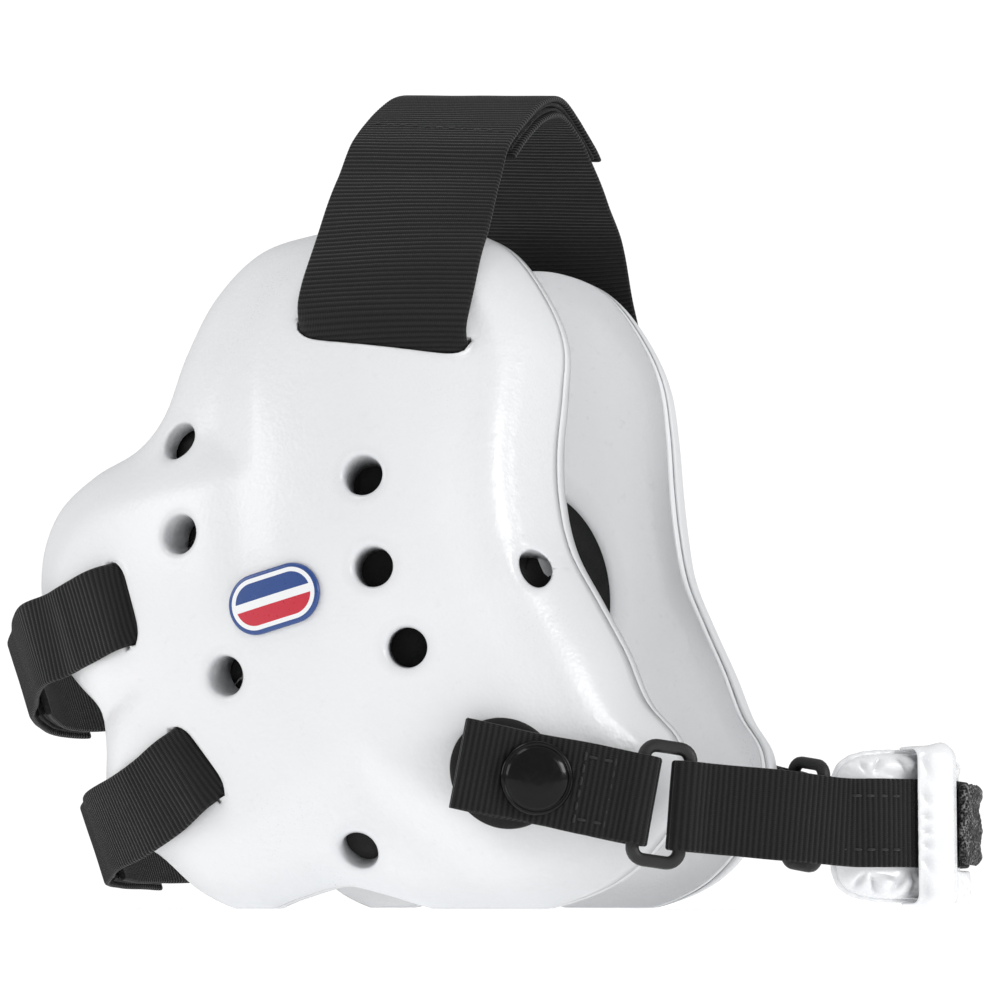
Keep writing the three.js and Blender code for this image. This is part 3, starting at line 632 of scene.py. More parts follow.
def webbing_cloth(name="webbing", light=0.014, dark=0.0018):
    """Charcoal grosgrain: ribs across the tape, fine yarns along it, painted shade in the valleys between them,
    worn and dusty in places.
    """
    f = Finish(name)
    along, across = f.weave()
    rib = f.math("MULTIPLY_ADD", f.math("COSINE", f.math("MULTIPLY", along, 2 * math.pi / RIB_PITCH)), 0.5, 0.5)
    yarn = f.math("MULTIPLY_ADD", f.math("SINE", f.math("MULTIPLY", across, 2 * math.pi / 0.42)), 0.5, 0.5)
    place = f.node("ShaderNodeCombineXYZ", X=along, Y=across).outputs[0]
    fuzz = f.node("ShaderNodeTexNoise", Vector=place, Scale=3.1, Detail=5.0, Roughness=0.7).outputs["Fac"]
    worn = f.node("ShaderNodeTexNoise", Vector=place, Scale=0.09, Detail=3.0).outputs["Fac"]
    # Painted shade: the colour goes nearly black in the valleys between ribs and between yarns.
    shade = f.math("MULTIPLY", f.math("POWER", rib, 1.3), f.math("MULTIPLY_ADD", yarn, 0.3, 0.7))
    shade = f.math("MULTIPLY", shade, f.range(fuzz, 0.3, 0.7, 0.35, 1.7))
    shade = f.math("MULTIPLY", shade, f.range(worn, 0.3, 0.7, 0.75, 1.15))
    colour = f.ramp(shade, (0.0, (dark, dark, dark * 1.08)), (1.0, (light, light * 0.98, light * 1.04)))
    f.set(Base_Color=colour, Roughness=f.range(fuzz, 0.3, 0.7, 0.7, 0.92), Sheen_Weight=0.12,
          Sheen_Roughness=0.4, Specular_IOR_Level=0.3)
    return f.bump((rib, 0.12), (yarn, 0.05), (fuzz, 0.06)).material


def tape(name, light, dark, size, depth):
    """Hook or loop tape: speckled fuzz."""
    f = Finish(name)
    tuft = f.cells(size)
    cloud = f.noise(3, 4)
    colour = f.ramp(f.math("MULTIPLY", tuft, f.range(cloud, 0.3, 0.7, 0.7, 1.5)),
                    (0.3, (dark,) * 3), (0.7, (light * 0.25,) * 3), (0.95, (light,) * 3))
    f.set(Base_Color=colour, Roughness=0.95, Sheen_Weight=0.1, Sheen_Roughness=0.5, Specular_IOR_Level=0.2)
    return f.bump((tuft, depth), (cloud, depth)).material


def vinyl():
    """Glossy white sewn vinyl, creased finely, with painted shade greying its folds."""
    f = Finish("vinyl")
    cloud = f.noise(9, 4)
    crease = f.noise(1.6, 4, rough=0.6)
    fold_shade = f.range(f.noted("fold_shade"), 0, 1)
    colour = f.ramp(cloud, (0.3, (0.77, 0.78, 0.80)), (0.7, (0.83, 0.835, 0.845)))
    # Painted shade: grey blended into the pleats, gathers and puckers noted on each mesh.
    colour = f.blend(colour, (0.42, 0.43, 0.45), f.math("MULTIPLY", fold_shade, 0.7))
    f.set(Base_Color=colour, Roughness=f.range(crease, 0.3, 0.7, 0.2, 0.34), Coat_Weight=0.4,
          Coat_Roughness=0.12)
    return f.bump((cloud, 0.35), (crease, 0.06)).material


def lacquer():
    """Polished black lacquer on the snap caps, with faint scuffs."""
    f = Finish("snap_cap")
    scuff = f.noise(1.1, 6, rough=0.7)
    colour = f.ramp(scuff, (0.5, (0.0015, 0.0015, 0.0016)), (0.95, (0.008, 0.008, 0.009)))
    f.set(Base_Color=colour, Roughness=f.range(scuff, 0.4, 0.8, 0.12, 0.3), Coat_Weight=0.1,
          Coat_Roughness=0.05, Specular_IOR_Level=0.15)
    return f.bump((f.noise(4, 2), 0.03)).material


def plating():
    """Plated steel of the snap's inner pieces, with a fine turned grain."""
    f = Finish("snap_metal")
    grain = f.noise(0.4, 4)
    cloud = f.noise(3, 3)
    colour = f.ramp(cloud, (0.3, (0.46, 0.46, 0.47)), (0.7, (0.66, 0.66, 0.67)))
    f.set(Base_Color=colour, Metallic=1.0, Roughness=f.range(grain, 0.3, 0.7, 0.22, 0.42))
    return f.bump((grain, 0.01)).material


def moulded(name, light, dark, rough):
    """Satin moulded black plastic or foam with a textured face."""
    f = Finish(name)
    grain = f.cells(0.35)
    cloud = f.noise(4, 3)
    colour = f.ramp(cloud, (0.3, (dark,) * 3), (0.7, (light,) * 3))
    f.set(Base_Color=colour, Roughness=f.range(grain, 0, 0.7, rough, rough + 0.12))
    return f.bump((grain, 0.03), (cloud, 0.05)).material


def badge_print():
    """A plain printed pill: a blue border, a white field and level blue and red stripes."""
    f = Finish("badge_print")
    along, across = f.weave()
    straight = (BADGE_LENGTH - BADGE_HEIGHT) / 2
    past = f.math("MAXIMUM", f.math("SUBTRACT", f.math("ABSOLUTE", along), straight), 0.0)
    out = f.math("SQRT", f.math("ADD", f.math("MULTIPLY", past, past), f.math("MULTIPLY", across, across)))
    blue, red, white = (0.008, 0.05, 0.22), (0.52, 0.008, 0.03), (0.80, 0.81, 0.82)
    colour = f.blend(white, blue, f.math("GREATER_THAN", across, 0.9))
    colour = f.blend(colour, red, f.math("LESS_THAN", across, -0.9))
    colour = f.blend(colour, white, f.math("GREATER_THAN", out, BADGE_HEIGHT / 2 - 1.9))
    colour = f.blend(colour, blue, f.math("GREATER_THAN", out, BADGE_HEIGHT / 2 - 0.95))
    wear = f.noise(0.7, 5, rough=0.7)
    colour = f.blend(colour, white, f.range(wear, 0.66, 0.78, 0, 0.35))
    f.set(Base_Color=colour, Roughness=f.range(wear, 0.3, 0.7, 0.25, 0.4), Coat_Weight=0.3, Coat_Roughness=0.15)
    return f.bump((f.noise(3, 3), 0.05), (wear, 0.02)).material


def thread():
    """Black sewing thread with a twist."""
    f = Finish("thread")
    twist = f.noise(0.3, 3)
    f.set(Base_Color=f.ramp(twist, (0.3, (0.003,) * 3), (0.7, (0.014,) * 3)), Roughness=0.7, Sheen_Weight=0.1)
    return f.bump((twist, 0.05)).material


# The padding's skin is a brighter copy of the foam skin (0.88 against 0.76): painted light on the guards' inner
# faces.
FINISHES = {
    "foam_skin": foam_skin(), "pad_skin_lit": foam_skin("pad_skin_lit", 0.88), "webbing": webbing_cloth(),
    "vinyl": vinyl(), "snap_cap": lacquer(),
    "snap_metal": plating(), "ring_plastic": moulded("ring_plastic", 0.008, 0.004, 0.42),
    "liner_foam": moulded("liner_foam", 0.012, 0.006, 0.8), "badge_print": badge_print(),
    "hook_fastener": tape("hook_fastener", 0.03, 0.008, 0.5, 0.15),
    "loop_fastener": tape("loop_fastener", 0.22, 0.006, 0.5, 0.3),
    "dark_loop": tape("dark_loop", 0.03, 0.003, 0.5, 0.2), "thread": thread(),
}


def dress(obj, finish, body, *nodes, slot=None):
    """Gives a piece its material, body and the CAD nodes that it stands for."""
    obj.data.materials.append(FINISHES[finish])
    if nodes:
        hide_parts(*nodes)
    if body:
        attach(obj, body)
    return obj


# ---- Ear guards ----

def ring_inwards(ring, by):
    """An outline moved inwards (or a hole's outline moved outwards with a negative distance)."""
    ahead, behind = np.roll(ring, -1, axis=0), np.roll(ring, 1, axis=0)
    along = unit(ahead - behind)
    area = 0.5 * (ring[:, 0] * ahead[:, 1] - ahead[:, 0] * ring[:, 1]).sum()
    normal = np.stack([-along[:, 1], along[:, 0]], 1) * (1 if area > 0 else -1)
    return ring + normal * by


def vent_ring(x, z, grow=0.0, count=36):
    """A vent's edge: a circle square to the face, seen from the side."""
    n = outward_at(x, z)
    a = unit(np.cross(n, (0, 0, 1)))
    b = np.cross(n, a)
    turn = np.linspace(0, 2 * math.pi, count, endpoint=False)[:, None]
    ring = (VENT_RADIUS + grow) * (np.cos(turn) * a + np.sin(turn) * b)
    return np.stack([x + ring[:, 0], z + ring[:, 2]], 1)


def slot_area(strap):
    """Where a strap goes down through the shell: its run along the path and its edges."""
    path, width = strap["path"], strap["width"]
    s = np.linspace(path.half - 45, path.half, 300)
    point, across, _ = path.frame(s)
    level = outer_face(point[:, 0], point[:, 2]) - point[:, 1]  # how far the web's middle is under the face
    low = float(np.interp(WEB / 2 + 0.9, level, s))
    high = low - 3.2
    return low, high, width / 2 + 0.15


def slot_ring(strap):
    """The slot's outline: a narrow slit across the strap."""
    low, high, half = slot_area(strap)
    count = int(half * 2 / 1.2)
    a = np.linspace(-half, half, count)
    edges = []
    for s, order in ((low, 1), (high, -1)):
        place, across, _ = strap["path"].frame(s + late(strap, a[::order]))
        edges.append(place[:, [0, 2]] + unit(across[:, [0, 2]]) * a[::order, None])
    return resample(np.vstack(edges), 2 * count + 6, closed=True)


def triangulate(outer, holes, extra):
    """Triangles over an outline with holes, through rings of extra points."""
    points, edges = [], []
    for ring in [outer, *holes]:
        first = len(points)
        points.extend(ring)
        edges.extend((first + i, first + (i + 1) % len(ring)) for i in range(len(ring)))
    points.extend(extra)
    verts, _, faces, origin, *_ = geometry.delaunay_2d_cdt(
        [Vector(p) for p in points], edges, [], 0, 1e-4, True)
    verts = np.array([tuple(v) for v in verts])
    faces = np.array(faces)
    mid = verts[faces].mean(1)
    keep = inside(mid[:, 0], mid[:, 1], outer)
    for hole in holes:
        keep &= ~inside(mid[:, 0], mid[:, 1], hole)
    faces = faces[keep]
    used = np.unique(faces)
    renumber = np.full(len(verts), -1)
    renumber[used] = np.arange(len(used))
    verts, faces = verts[used], renumber[faces]
    a, b, c = verts[faces[:, 0]], verts[faces[:, 1]], verts[faces[:, 2]]
    turn = (b[:, 0] - a[:, 0]) * (c[:, 1] - a[:, 1]) - (b[:, 1] - a[:, 1]) * (c[:, 0] - a[:, 0])
    faces[turn > 0] = faces[turn > 0][:, ::-1]
    return verts, faces


def fill_points(outer, holes, step, margin):
    """A staggered grid of points inside an outline, clear of its edges."""
    low, high = outer.min(0), outer.max(0)
    rows = []
    for j, z in enumerate(np.arange(low[1], high[1], step * 0.87)):
        x = np.arange(low[0] + (j % 2) * step / 2, high[0], step)
        rows.append(np.stack([x, np.full(len(x), z)], 1))
    p = np.vstack(rows)
    keep = inside(p[:, 0], p[:, 1], outer) & (distance_to(p[:, 0], p[:, 1], outer) > margin)
    for hole in holes:
        keep &= ~inside(p[:, 0], p[:, 1], hole) & (distance_to(p[:, 0], p[:, 1], hole) > margin)
    return p[keep]


def lip(distance, radius):
    """How far a face drops at a rounded edge."""
    into = np.clip(radius - distance, 0, radius)
    return radius - np.sqrt(np.maximum(radius ** 2 - into ** 2, 0))


def two_sided(faces, front, back):
    """A closed body from a flat mesh and its two faces, each [x, y, z] by vertex."""
    n = len(front)
    edges = {}
    for f in faces:
        for a, b in ((f[0], f[1]), (f[1], f[2]), (f[2], f[0])):
            edges[(a, b)] = True
    border = [(a, b) for a, b in edges if (b, a) not in edges]
    all_faces = [tuple(f) for f in faces] + [tuple(n + i for i in f[::-1]) for f in faces]
    all_faces += [(b, a, n + a, n + b) for a, b in border]
    return np.vstack([front, back]), all_faces


def edge_rings(ring, steps, inwards=1):
    return [ring_inwards(ring, inwards * d) for d in steps]


def strap_surface(x, z, strap):
    """At points seen from the side: how far across and off a strap's line, its height and its s."""
    path = strap["path"]
    s = np.linspace(path.half - 45, path.half - TAIL_ROOM, 160)
    point, across, _ = path.frame(s)
    line, w = point[:, [0, 2]], unit(across[:, [0, 2]])
    p = np.stack([x, z], 1)
    offset = p[:, None, :] - line[None]
    sideways = (offset * w[None]).sum(2)
    lengthways = np.abs((offset * np.stack([-w[:, 1], w[:, 0]], 1)[None]).sum(2))
    pick = lengthways.argmin(1)
    rows = np.arange(len(p))
    return sideways[rows, pick], lengthways[rows, pick], point[pick, 1], s[pick]


def rim_swell(x, z, rim):
    """The front edge's padded roll, the valley inside it and a fine seam along it."""
    forward = smooth(x, 2, 18) * smooth(z, 24, 44) * (1 - smooth(z, 138, 150))
    roll = smooth(rim, 0.5, 3.5) * (1 - smooth(rim, 6.5, 10.5))
    valley = np.exp(-((rim - 13.5) / 3.6) ** 2)
    seam = np.exp(-((rim - 4.2) / 0.45) ** 2) * smooth(z, 66, 76) * (1 - smooth(z, 124, 134))
    rear = np.exp(-((x + 33 + 0.10 * (z - 90)) / 6) ** 2) * smooth(z, 58, 74) * (1 - smooth(z, 96, 116))
    near_vent = np.ones(len(x))
    for vx, vz in VENTS:
        near_vent = near_vent * smooth(np.hypot(x - vx, z - vz), 4.5, 9)
    return forward * (1.5 * roll - 0.9 * valley * near_vent - 0.3 * seam) - 0.9 * rear * near_vent


def shell_mesh():
    """The guard's outer layer: ridged face, rounded rim, vents, and slots for the straps."""
    vents = [vent_ring(x, z) for x, z in VENTS]
    slots = [slot_ring(strap) for strap in STRAPS.values()]
    holes = vents + slots
    extra = [fill_points(RIM, holes, MESH_STEP, 1.6)]
    extra += edge_rings(RIM, (0.3, 0.9, 1.8, 2.8, 3.6, 4.2, 4.8, 6.2, 8.0, 10.0))
    for x, z in VENTS:
        extra += [vent_ring(x, z, g) for g in (0.25, 0.7, 1.3, 2.1)]
    for ring in slots:
        extra += edge_rings(ring, (0.3, 0.8, 1.5), -1)
    points, faces = triangulate(RIM, holes, np.vstack(extra))
    x, z = points[:, 0], points[:, 1]
    base = base_face(x, z)
    rim = distance_to(x, z, RIM)
    front = outer_face(x, z) + rim_swell(x, z, rim)
    drop = lip(rim, SHELL_EDGE)
    # edge carries the distance for the painted shade near the rim and, below, the vents.
    edge = rim.copy()
    back_x, back_z = x.copy(), z.copy()
    for (vx, vz), ring in zip(VENTS, vents):
        d = distance_to(x, z, ring)
        drop = np.maximum(drop, lip(d, VENT_EDGE))
        # Painted shade also greys the skin close round each vent.
        edge = np.minimum(edge, d * 2.5)
        n = outward_at(vx, vz)
        depth = (front - base + SHELL_THICKNESS) * (1 - smooth(d, 1, 7)) * smooth(rim, 0.5, 4)
        back_x = back_x - n[0] * n[1] * depth
        back_z = back_z - n[2] * n[1] * depth
    outer = front - drop
    # Close the gap between the layers at the rim, down to a fine parting line.
    back = base_face(back_x, back_z) - SHELL_THICKNESS - (LAYER_GAP / 2 - 0.02) * (1 - smooth(rim, 4, 8))
    back = back + lip(rim, 0.4)
    for strap in STRAPS.values():
        sideways, off, middle, s = strap_surface(x, z, strap)
        low, high, half = slot_area(strap)
        middle = middle + hug(strap, s, sideways)
        s = s - late(strap, sideways)
        band = (1 - smooth(np.abs(sideways), half, half + 0.9)) * (off < 2)
        under = middle - WEB / 2 - CLEARANCE
        over = middle + WEB / 2 + CLEARANCE
        outer = np.where(s < (low + high) / 2, mix(outer, np.minimum(outer, under), band), outer)
        back = np.where(s > (low + high) / 2, mix(back, np.maximum(back, over), band), back)
    for ring in slots:
        outer = outer - lip(distance_to(x, z, ring), SLOT_EDGE) * 0.6
    outer = np.maximum(outer, back + 0.35)
    return points, faces, np.stack([x, outer, z], 1), np.stack([back_x, back, back_z], 1), edge


def pad_mesh():
    """The guard's inner layer, with a soft opening for the ear."""
    turn = np.linspace(0, 2 * math.pi, 120, endpoint=False)
    ear = np.stack([EAR_X + EAR_HALF_WIDTH * np.cos(turn), EAR_Z + EAR_HALF_HEIGHT * np.sin(turn)], 1)
    steps = (0.3, 0.9, 1.8, 3.0, 4.6)
    extra = [fill_points(RIM, [ear], MESH_STEP * 1.2, 2)]
    extra += edge_rings(RIM, steps) + edge_rings(ear, steps, -1)
    points, faces = triangulate(RIM, [ear], np.vstack(extra))
    x, z = points[:, 0], points[:, 1]
    base = base_face(x, z)
    rim, from_ear = distance_to(x, z, RIM), distance_to(x, z, ear)
    near = np.exp(-((x - EAR_X) ** 2 + (z - EAR_Z) ** 2) / 45 ** 2)
    top = base - SHELL_THICKNESS - LAYER_GAP
    inner = top - mix(PAD_RIM, PAD_EAR, near) + lip(rim, PAD_EDGE) + lip(from_ear, 4.5)
    top = top + (LAYER_GAP / 2 - 0.02) * (1 - smooth(rim, 4, 8)) - lip(rim, 0.4)
    # A shallow groove sets off the rolled rim from the padding.
    inner = inner + 0.9 * np.exp(-((rim - 7.5) / 1.1) ** 2)
    # The last value is the distance for the painted shade near the rim and the ear opening.
    return points, faces, np.stack([x, top, z], 1), np.stack([x, inner, z], 1), np.minimum(rim, from_ear)


SIDES = {"left": 1, "right": -1}

for part, made, node in (("shell", shell_mesh(), "guard_shell"), ("padding", pad_mesh(), "guard_pad")):
    points, faces, front, back, edge = made
    verts, closed = two_sided(faces, front, back)
    for side_name, side in SIDES.items():
        piece = outward_ok(put(f"{side_name}_guard_{part}_skin", verts, closed, side))
        # from_edge drives the foam skin's painted shade near edges, vents and the ear opening.
        note(piece, "from_edge", np.concatenate([edge, edge]))
        # The padding takes the brighter skin: painted light.
        dress(piece, "pad_skin_lit" if part == "padding" else "foam_skin", "guards", f"{side_name}_{node}",
              slot="foam_skin")


def face_piece(shape, thickness, edge, step):
    """A thin piece of a given outline, lying on the guard's outer face with rounded edges."""
    extra = [fill_points(shape, [], step, 0.4)] + edge_rings(shape, (0.15, 0.4, 0.8))
    points, faces = triangulate(shape, [], np.vstack(extra))
    x, z = points[:, 0], points[:, 1]
    level = outer_face(x, z) + CLEARANCE
    d = distance_to(x, z, shape)
    front = np.stack([x, level + thickness - lip(d, edge), z], 1)
    back = np.stack([x, level, z], 1)
    return points, *two_sided(faces, front, back)


def pill_outline(count=22):
    turn = math.radians(BADGE_TURN)
    straight = (BADGE_LENGTH - BADGE_HEIGHT) / 2
    ring = []
    for end in (1, -1):
        a = np.linspace(-math.pi / 2, math.pi / 2, count) + (0 if end > 0 else math.pi)
        ring.append(np.stack([end * straight + BADGE_HEIGHT / 2 * np.cos(a), BADGE_HEIGHT / 2 * np.sin(a)], 1))
    ring = resample(np.vstack(ring), 110, closed=True)
    spin = np.array([[math.cos(turn), math.sin(turn)], [-math.sin(turn), math.cos(turn)]])
    return ring @ spin + (BADGE_X, BADGE_Z), spin


pill, spin = pill_outline()
points, verts, faces = face_piece(pill, 0.8, 0.5, 0.9)
local = (points - (BADGE_X, BADGE_Z)) @ spin.T / 10
for side_name, side in SIDES.items():
    badge = outward_ok(put(f"{side_name}_badge", verts, faces, side, uv=np.vstack([local, local])))
    dress(badge, "badge_print", "guards", f"{side_name}_guard_badge")

turn = np.linspace(0, 2 * math.pi, 90, endpoint=False)
oval = np.stack([SNAP_X - 4.6 + 10.6 * np.cos(turn), SNAP_Z + 1.2 + 11.6 * np.sin(turn)], 1)
_, verts, faces = face_piece(oval, 1.2, 0.6, 1.6)
for side_name, side in SIDES.items():
    patch = outward_ok(put(f"{side_name}_snap_backing", verts, faces, side))
    dress(patch, "liner_foam", "guards", f"{side_name}_snap_patch")

# A black disc sits behind the front vent too, where the liner doesn't reach: painted shade that makes the vent
# look dark.
vent_x, vent_z = VENTS[5]
turn = np.linspace(0, 2 * math.pi, 40, endpoint=False)
disc = np.stack([vent_x - 0.6 + 3.6 * np.cos(turn), vent_z + 5.6 * np.sin(turn)], 1)
points, faces = triangulate(disc, [], fill_points(disc, [], 1.5, 0.5))
x, z = points[:, 0], points[:, 1]
level = base_face(x, z) - SHELL_THICKNESS - LAYER_GAP + 0.15
verts, closed = two_sided(faces, np.stack([x, level + 0.9, z], 1), np.stack([x, level, z], 1))
for side_name, side in SIDES.items():
    dress(outward_ok(put(f"{side_name}_vent_shade_disc", verts, closed, side)), "liner_foam", "guards")

# The CAD liner, a black sheet behind the vents, gets black foam: painted shade standing in for the dark ear
# cavity.
for side_name in SIDES:
    liner = frame["nodes"][f"{side_name}_guard_liner"]
    liner.data.materials.clear()
    liner.data.materials.append(FINISHES["liner_foam"])


# ---- Crown and rear straps ----

for name, strap in STRAPS.items():
    path, width, (low, high) = strap["path"], strap["width"], strap["overlap"]
    tail = path.half - TAIL_ROOM
    over, under = layer_lift(strap, 1), layer_lift(strap, -1)
    columns = 17 if width > 30 else 9

    def over_lift(s, over=over, end=high):
        """The outer half, with its free end standing up a little."""
        return over(s) + 1.5 * smooth(s, end - 14, end)

    outer = strap_piece(f"{name}_outer_web", strap, -tail, high, over_lift, width, WEB, columns=columns)
    dress(outer, "webbing", None, f"{name}_strap_right", f"{name}_strap_flap")
    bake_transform(outer)
    inner = strap_piece(f"{name}_inner_web", strap, low, tail, under, width, WEB, columns=columns, seed=9)
    dress(inner, "webbing", "guards", f"{name}_strap_left")
    hook = strap_piece(
        f"{name}_hook_tape", strap, low + 2, high - 2,
        lambda s: over_lift(s) - WEB / 2 - CLEARANCE * 0.5 - FASTENER / 2, width - 2, FASTENER, ribs=0.05)
    dress(hook, "hook_fastener", None, f"{name}_hook_patch", f"{name}_flap_hook_patch")
    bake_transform(hook)
    loop = strap_piece(
        f"{name}_loop_tape", strap, low + 2, high - 1,
        lambda s: under(s) + WEB / 2 + CLEARANCE * 0.5 + FASTENER / 2, width - 2, FASTENER, ribs=0.05)
    dress(loop, "dark_loop", "guards", f"{name}_loop_patch", slot="loop_fastener")

    # The tape's end is sewn down with one row across the outer half.
    count = int((width - 6) / 2.9)
    spots = np.linspace(-width / 2 + 3.5, width / 2 - 3.5, count)
    row = -32 - 0.12 * spots if name == "crown" else np.full(count, -19.0)
    point, across, out = path.frame(row)
    places = point + across * spots[:, None] + out * (over(row) + WEB / 2 - 0.02)[:, None]
    places[:, 2] -= lean(strap, row, spots)
    dress(stitches(f"{name}_stitching", places, across, out), "thread", "guards", slot="webbing")


# ---- Chin strap ----

def chin_frame(origin, sink):
    """(origin, along, out, across) for the webbing on the left side."""
    turn, dip = math.radians(SNAP_TURN), math.radians(sink)
    along = np.array([math.cos(dip) * math.cos(turn), -math.cos(dip) * math.sin(turn), -math.sin(dip)])
    out = np.array([math.sin(turn), math.cos(turn), 0])
    return np.asarray(origin, float), along, out, np.cross(along, out)


def spot(at, x, y, z=0.0):
    origin, along, out, across = at
    return origin + along * x + out * y + across * z


snap_at = chin_frame((SNAP_X, outer_at(SNAP_X, SNAP_Z), SNAP_Z), TAB_SINK)
ring_centre = spot(snap_at, SNAP_TO_RING, TAB_STANDOFF)
tab_at = chin_frame(ring_centre, TAB_SINK)
ring_at = chin_frame(ring_centre, RING_SINK)
strap_at = chin_frame(ring_centre, STRAP_SINK)


def round_bar(at, bar, way):
    """Webbing coming in on the outer side, round a bar and back on the inner side."""
    return [spot(at, bar + way * x, y) for x, y in (
        (9, FOLD_GAP), (4.6, FOLD_GAP + 0.5), (0.8, BAR_LOOP - 0.05), (-1.8, BAR_LOOP * 0.74),
        (-BAR_LOOP, 0), (-1.8, -BAR_LOOP * 0.74), (0.8, -BAR_LOOP + 0.05), (4.6, -FOLD_GAP - 0.5),
        (9, -FOLD_GAP))]


def narrow_web(name, points, across_at, side, **options):
    line = spline(points, per=40)
    count = int(length_of(line) / (RIB_PITCH / 4))
    centre = resample(line, count)
    s = np.linspace(0, length_of(line), count)
    along = unit(np.gradient(centre, axis=0))
    across = across_at(centre)
    across = unit(across - along * (across * along).sum(1, keepdims=True))
    out = unit(np.cross(across, along))
    return outward_ok(ribbon(name, s, centre, across, out, NARROW_WIDTH, THIN_WEB, side, **options))


rear = -SNAP_TO_RING - TAB_TAIL
tab_points = [
    spot(tab_at, rear, FOLD_GAP), spot(tab_at, (rear + RING_BAR_X) / 2 - 4, FOLD_GAP),
    *round_bar(tab_at, -RING_BAR_X, -1),
    spot(tab_at, (rear + RING_BAR_X) / 2 - 4, -FOLD_GAP), spot(tab_at, rear, -FOLD_GAP)]

TAB_INNER = TAB_STANDOFF - FOLD_GAP - THIN_WEB / 2
TAB_OUTER = TAB_STANDOFF + FOLD_GAP + THIN_WEB / 2
STUD_FACE = 3.3
WASHER_RADIUS, WASHER_BACK, WASHER_FRONT = 5, -9.9, -9.2
CAP = [(0, TAB_INNER - 0.9), (1.9, TAB_INNER - 0.9), (1.9, TAB_OUTER + CLEARANCE), (7.2, TAB_OUTER + CLEARANCE),
       (7.8, TAB_OUTER + 0.7), (7.7, TAB_OUTER + 1.3), (7.2, TAB_OUTER + 1.7), (6.8, TAB_OUTER + 1.45),
       (6.3, TAB_OUTER + 2.1), (5.2, TAB_OUTER + 2.6), (3.6, TAB_OUTER + 2.8), (1.8, TAB_OUTER + 2.88),
       (0, TAB_OUTER + 2.9)]
SOCKET = [(3.2, STUD_FACE + CLEARANCE), (5.6, STUD_FACE + CLEARANCE), (5.6, TAB_INNER - CLEARANCE),
          (2.3, TAB_INNER - CLEARANCE), (2.3, TAB_INNER - 0.7), (3.2, TAB_INNER - 0.8),
          (3.2, STUD_FACE + CLEARANCE)]
STUD = [(0, WASHER_FRONT + CLEARANCE), (1.6, WASHER_FRONT + CLEARANCE), (1.6, 2.8), (3.9, 2.8), (3.9, STUD_FACE),
        (2.2, STUD_FACE), (2.2, TAB_INNER - 1.6), (0, TAB_INNER - 1.4)]
WASHER = [(0, WASHER_BACK), (WASHER_RADIUS, WASHER_BACK), (WASHER_RADIUS, WASHER_FRONT), (0, WASHER_FRONT)]


def ring_mesh(name, side):
    """The rectangular ring: a rounded bar bent round rounded corners."""
    w, h, r = RING_WIDTH / 2 - RING_BAR / 2 + 0.25, RING_HEIGHT / 2 - RING_BAR / 2 + 0.25, 2.6
    path = []
    for cx, cz, start in ((w - r, h - r, 0), (-w + r, h - r, 90), (-w + r, -h + r, 180), (w - r, -h + r, 270)):
        for a in np.radians(np.linspace(start, start + 90, 9)):
            path.append((cx + r * math.cos(a), cz + r * math.sin(a)))
    path = resample(np.array(path), 96, closed=True)
    along = unit(np.roll(path, -1, axis=0) - np.roll(path, 1, axis=0))
    side_way = np.stack([along[:, 1], -along[:, 0]], 1)
    turn = np.linspace(0, 2 * math.pi, 16, endpoint=False)
    c, q = np.cos(turn), np.sin(turn)
    section = (RING_BAR / 2 + 0.2) * np.stack([np.sign(c) * np.abs(c) ** 0.75, np.sign(q) * np.abs(q) ** 0.75], 1)
    verts = []
    for p, n in zip(path, side_way):
        for a, b in section:
            verts.append(spot(ring_at, p[0] + n[0] * a, b, p[1] + n[1] * a))
    faces = []
    for i in range(len(path)):
        for k in range(16):
            j, m = (i + 1) % len(path), (k + 1) % 16
            faces.append((i * 16 + k, i * 16 + m, j * 16 + m, j * 16 + k))
    return outward_ok(put(name, verts, faces, side))


for side_name, side in SIDES.items():
    tab_body = f"{side_name}_tab"
    web = narrow_web(f"{side_name}_tab_web", tab_points, lambda c: np.tile(tab_at[3], (len(c), 1)), side, seed=5)
    dress(web, "webbing", tab_body, f"{side_name}_chin_tab")
    cap = outward_ok(lathe(f"{side_name}_cap", rounded(CAP, 0.35), snap_at, side, 64))
    dress(cap, "snap_cap", tab_body, f"{side_name}_snap_cap")
    socket = outward_ok(lathe(f"{side_name}_socket", rounded(SOCKET, 0.12), snap_at, side))
    dress(socket, "snap_metal", tab_body, f"{side_name}_snap_socket")
    stud = outward_ok(lathe(f"{side_name}_stud", rounded(STUD, 0.15), snap_at, side))
    dress(stud, "snap_metal", "guards", f"{side_name}_snap_stud")
    washer = outward_ok(lathe(f"{side_name}_washer", rounded(WASHER, 0.15), snap_at, side))
    dress(washer, "snap_metal", "guards", f"{side_name}_stud_washer")
    dress(ring_mesh(f"{side_name}_ring", side), "ring_plastic", "chin", f"{side_name}_strap_ring")

    # Box stitching through both layers of the tab, between the snap and the ring.
    box_x, box_z, y = (-18.0, -11.5), 6.6, FOLD_GAP + THIN_WEB / 2 - 0.02
    places, ways = [], []
    for x in box_x:
        for z in np.linspace(-box_z, box_z, 6):
            places.append(spot(tab_at, x, y, z))
            ways.append(tab_at[3])
    for z in (-box_z, box_z):
        for x in np.linspace(box_x[0] + 1.6, box_x[1] - 1.6, 2):
            places.append(spot(tab_at, x, y, z))
            ways.append(tab_at[1])
    sewn = stitches(f"{side_name}_tab_stitching", places, ways, [tab_at[2]] * len(places), side)
    dress(sewn, "thread", tab_body, slot="webbing")


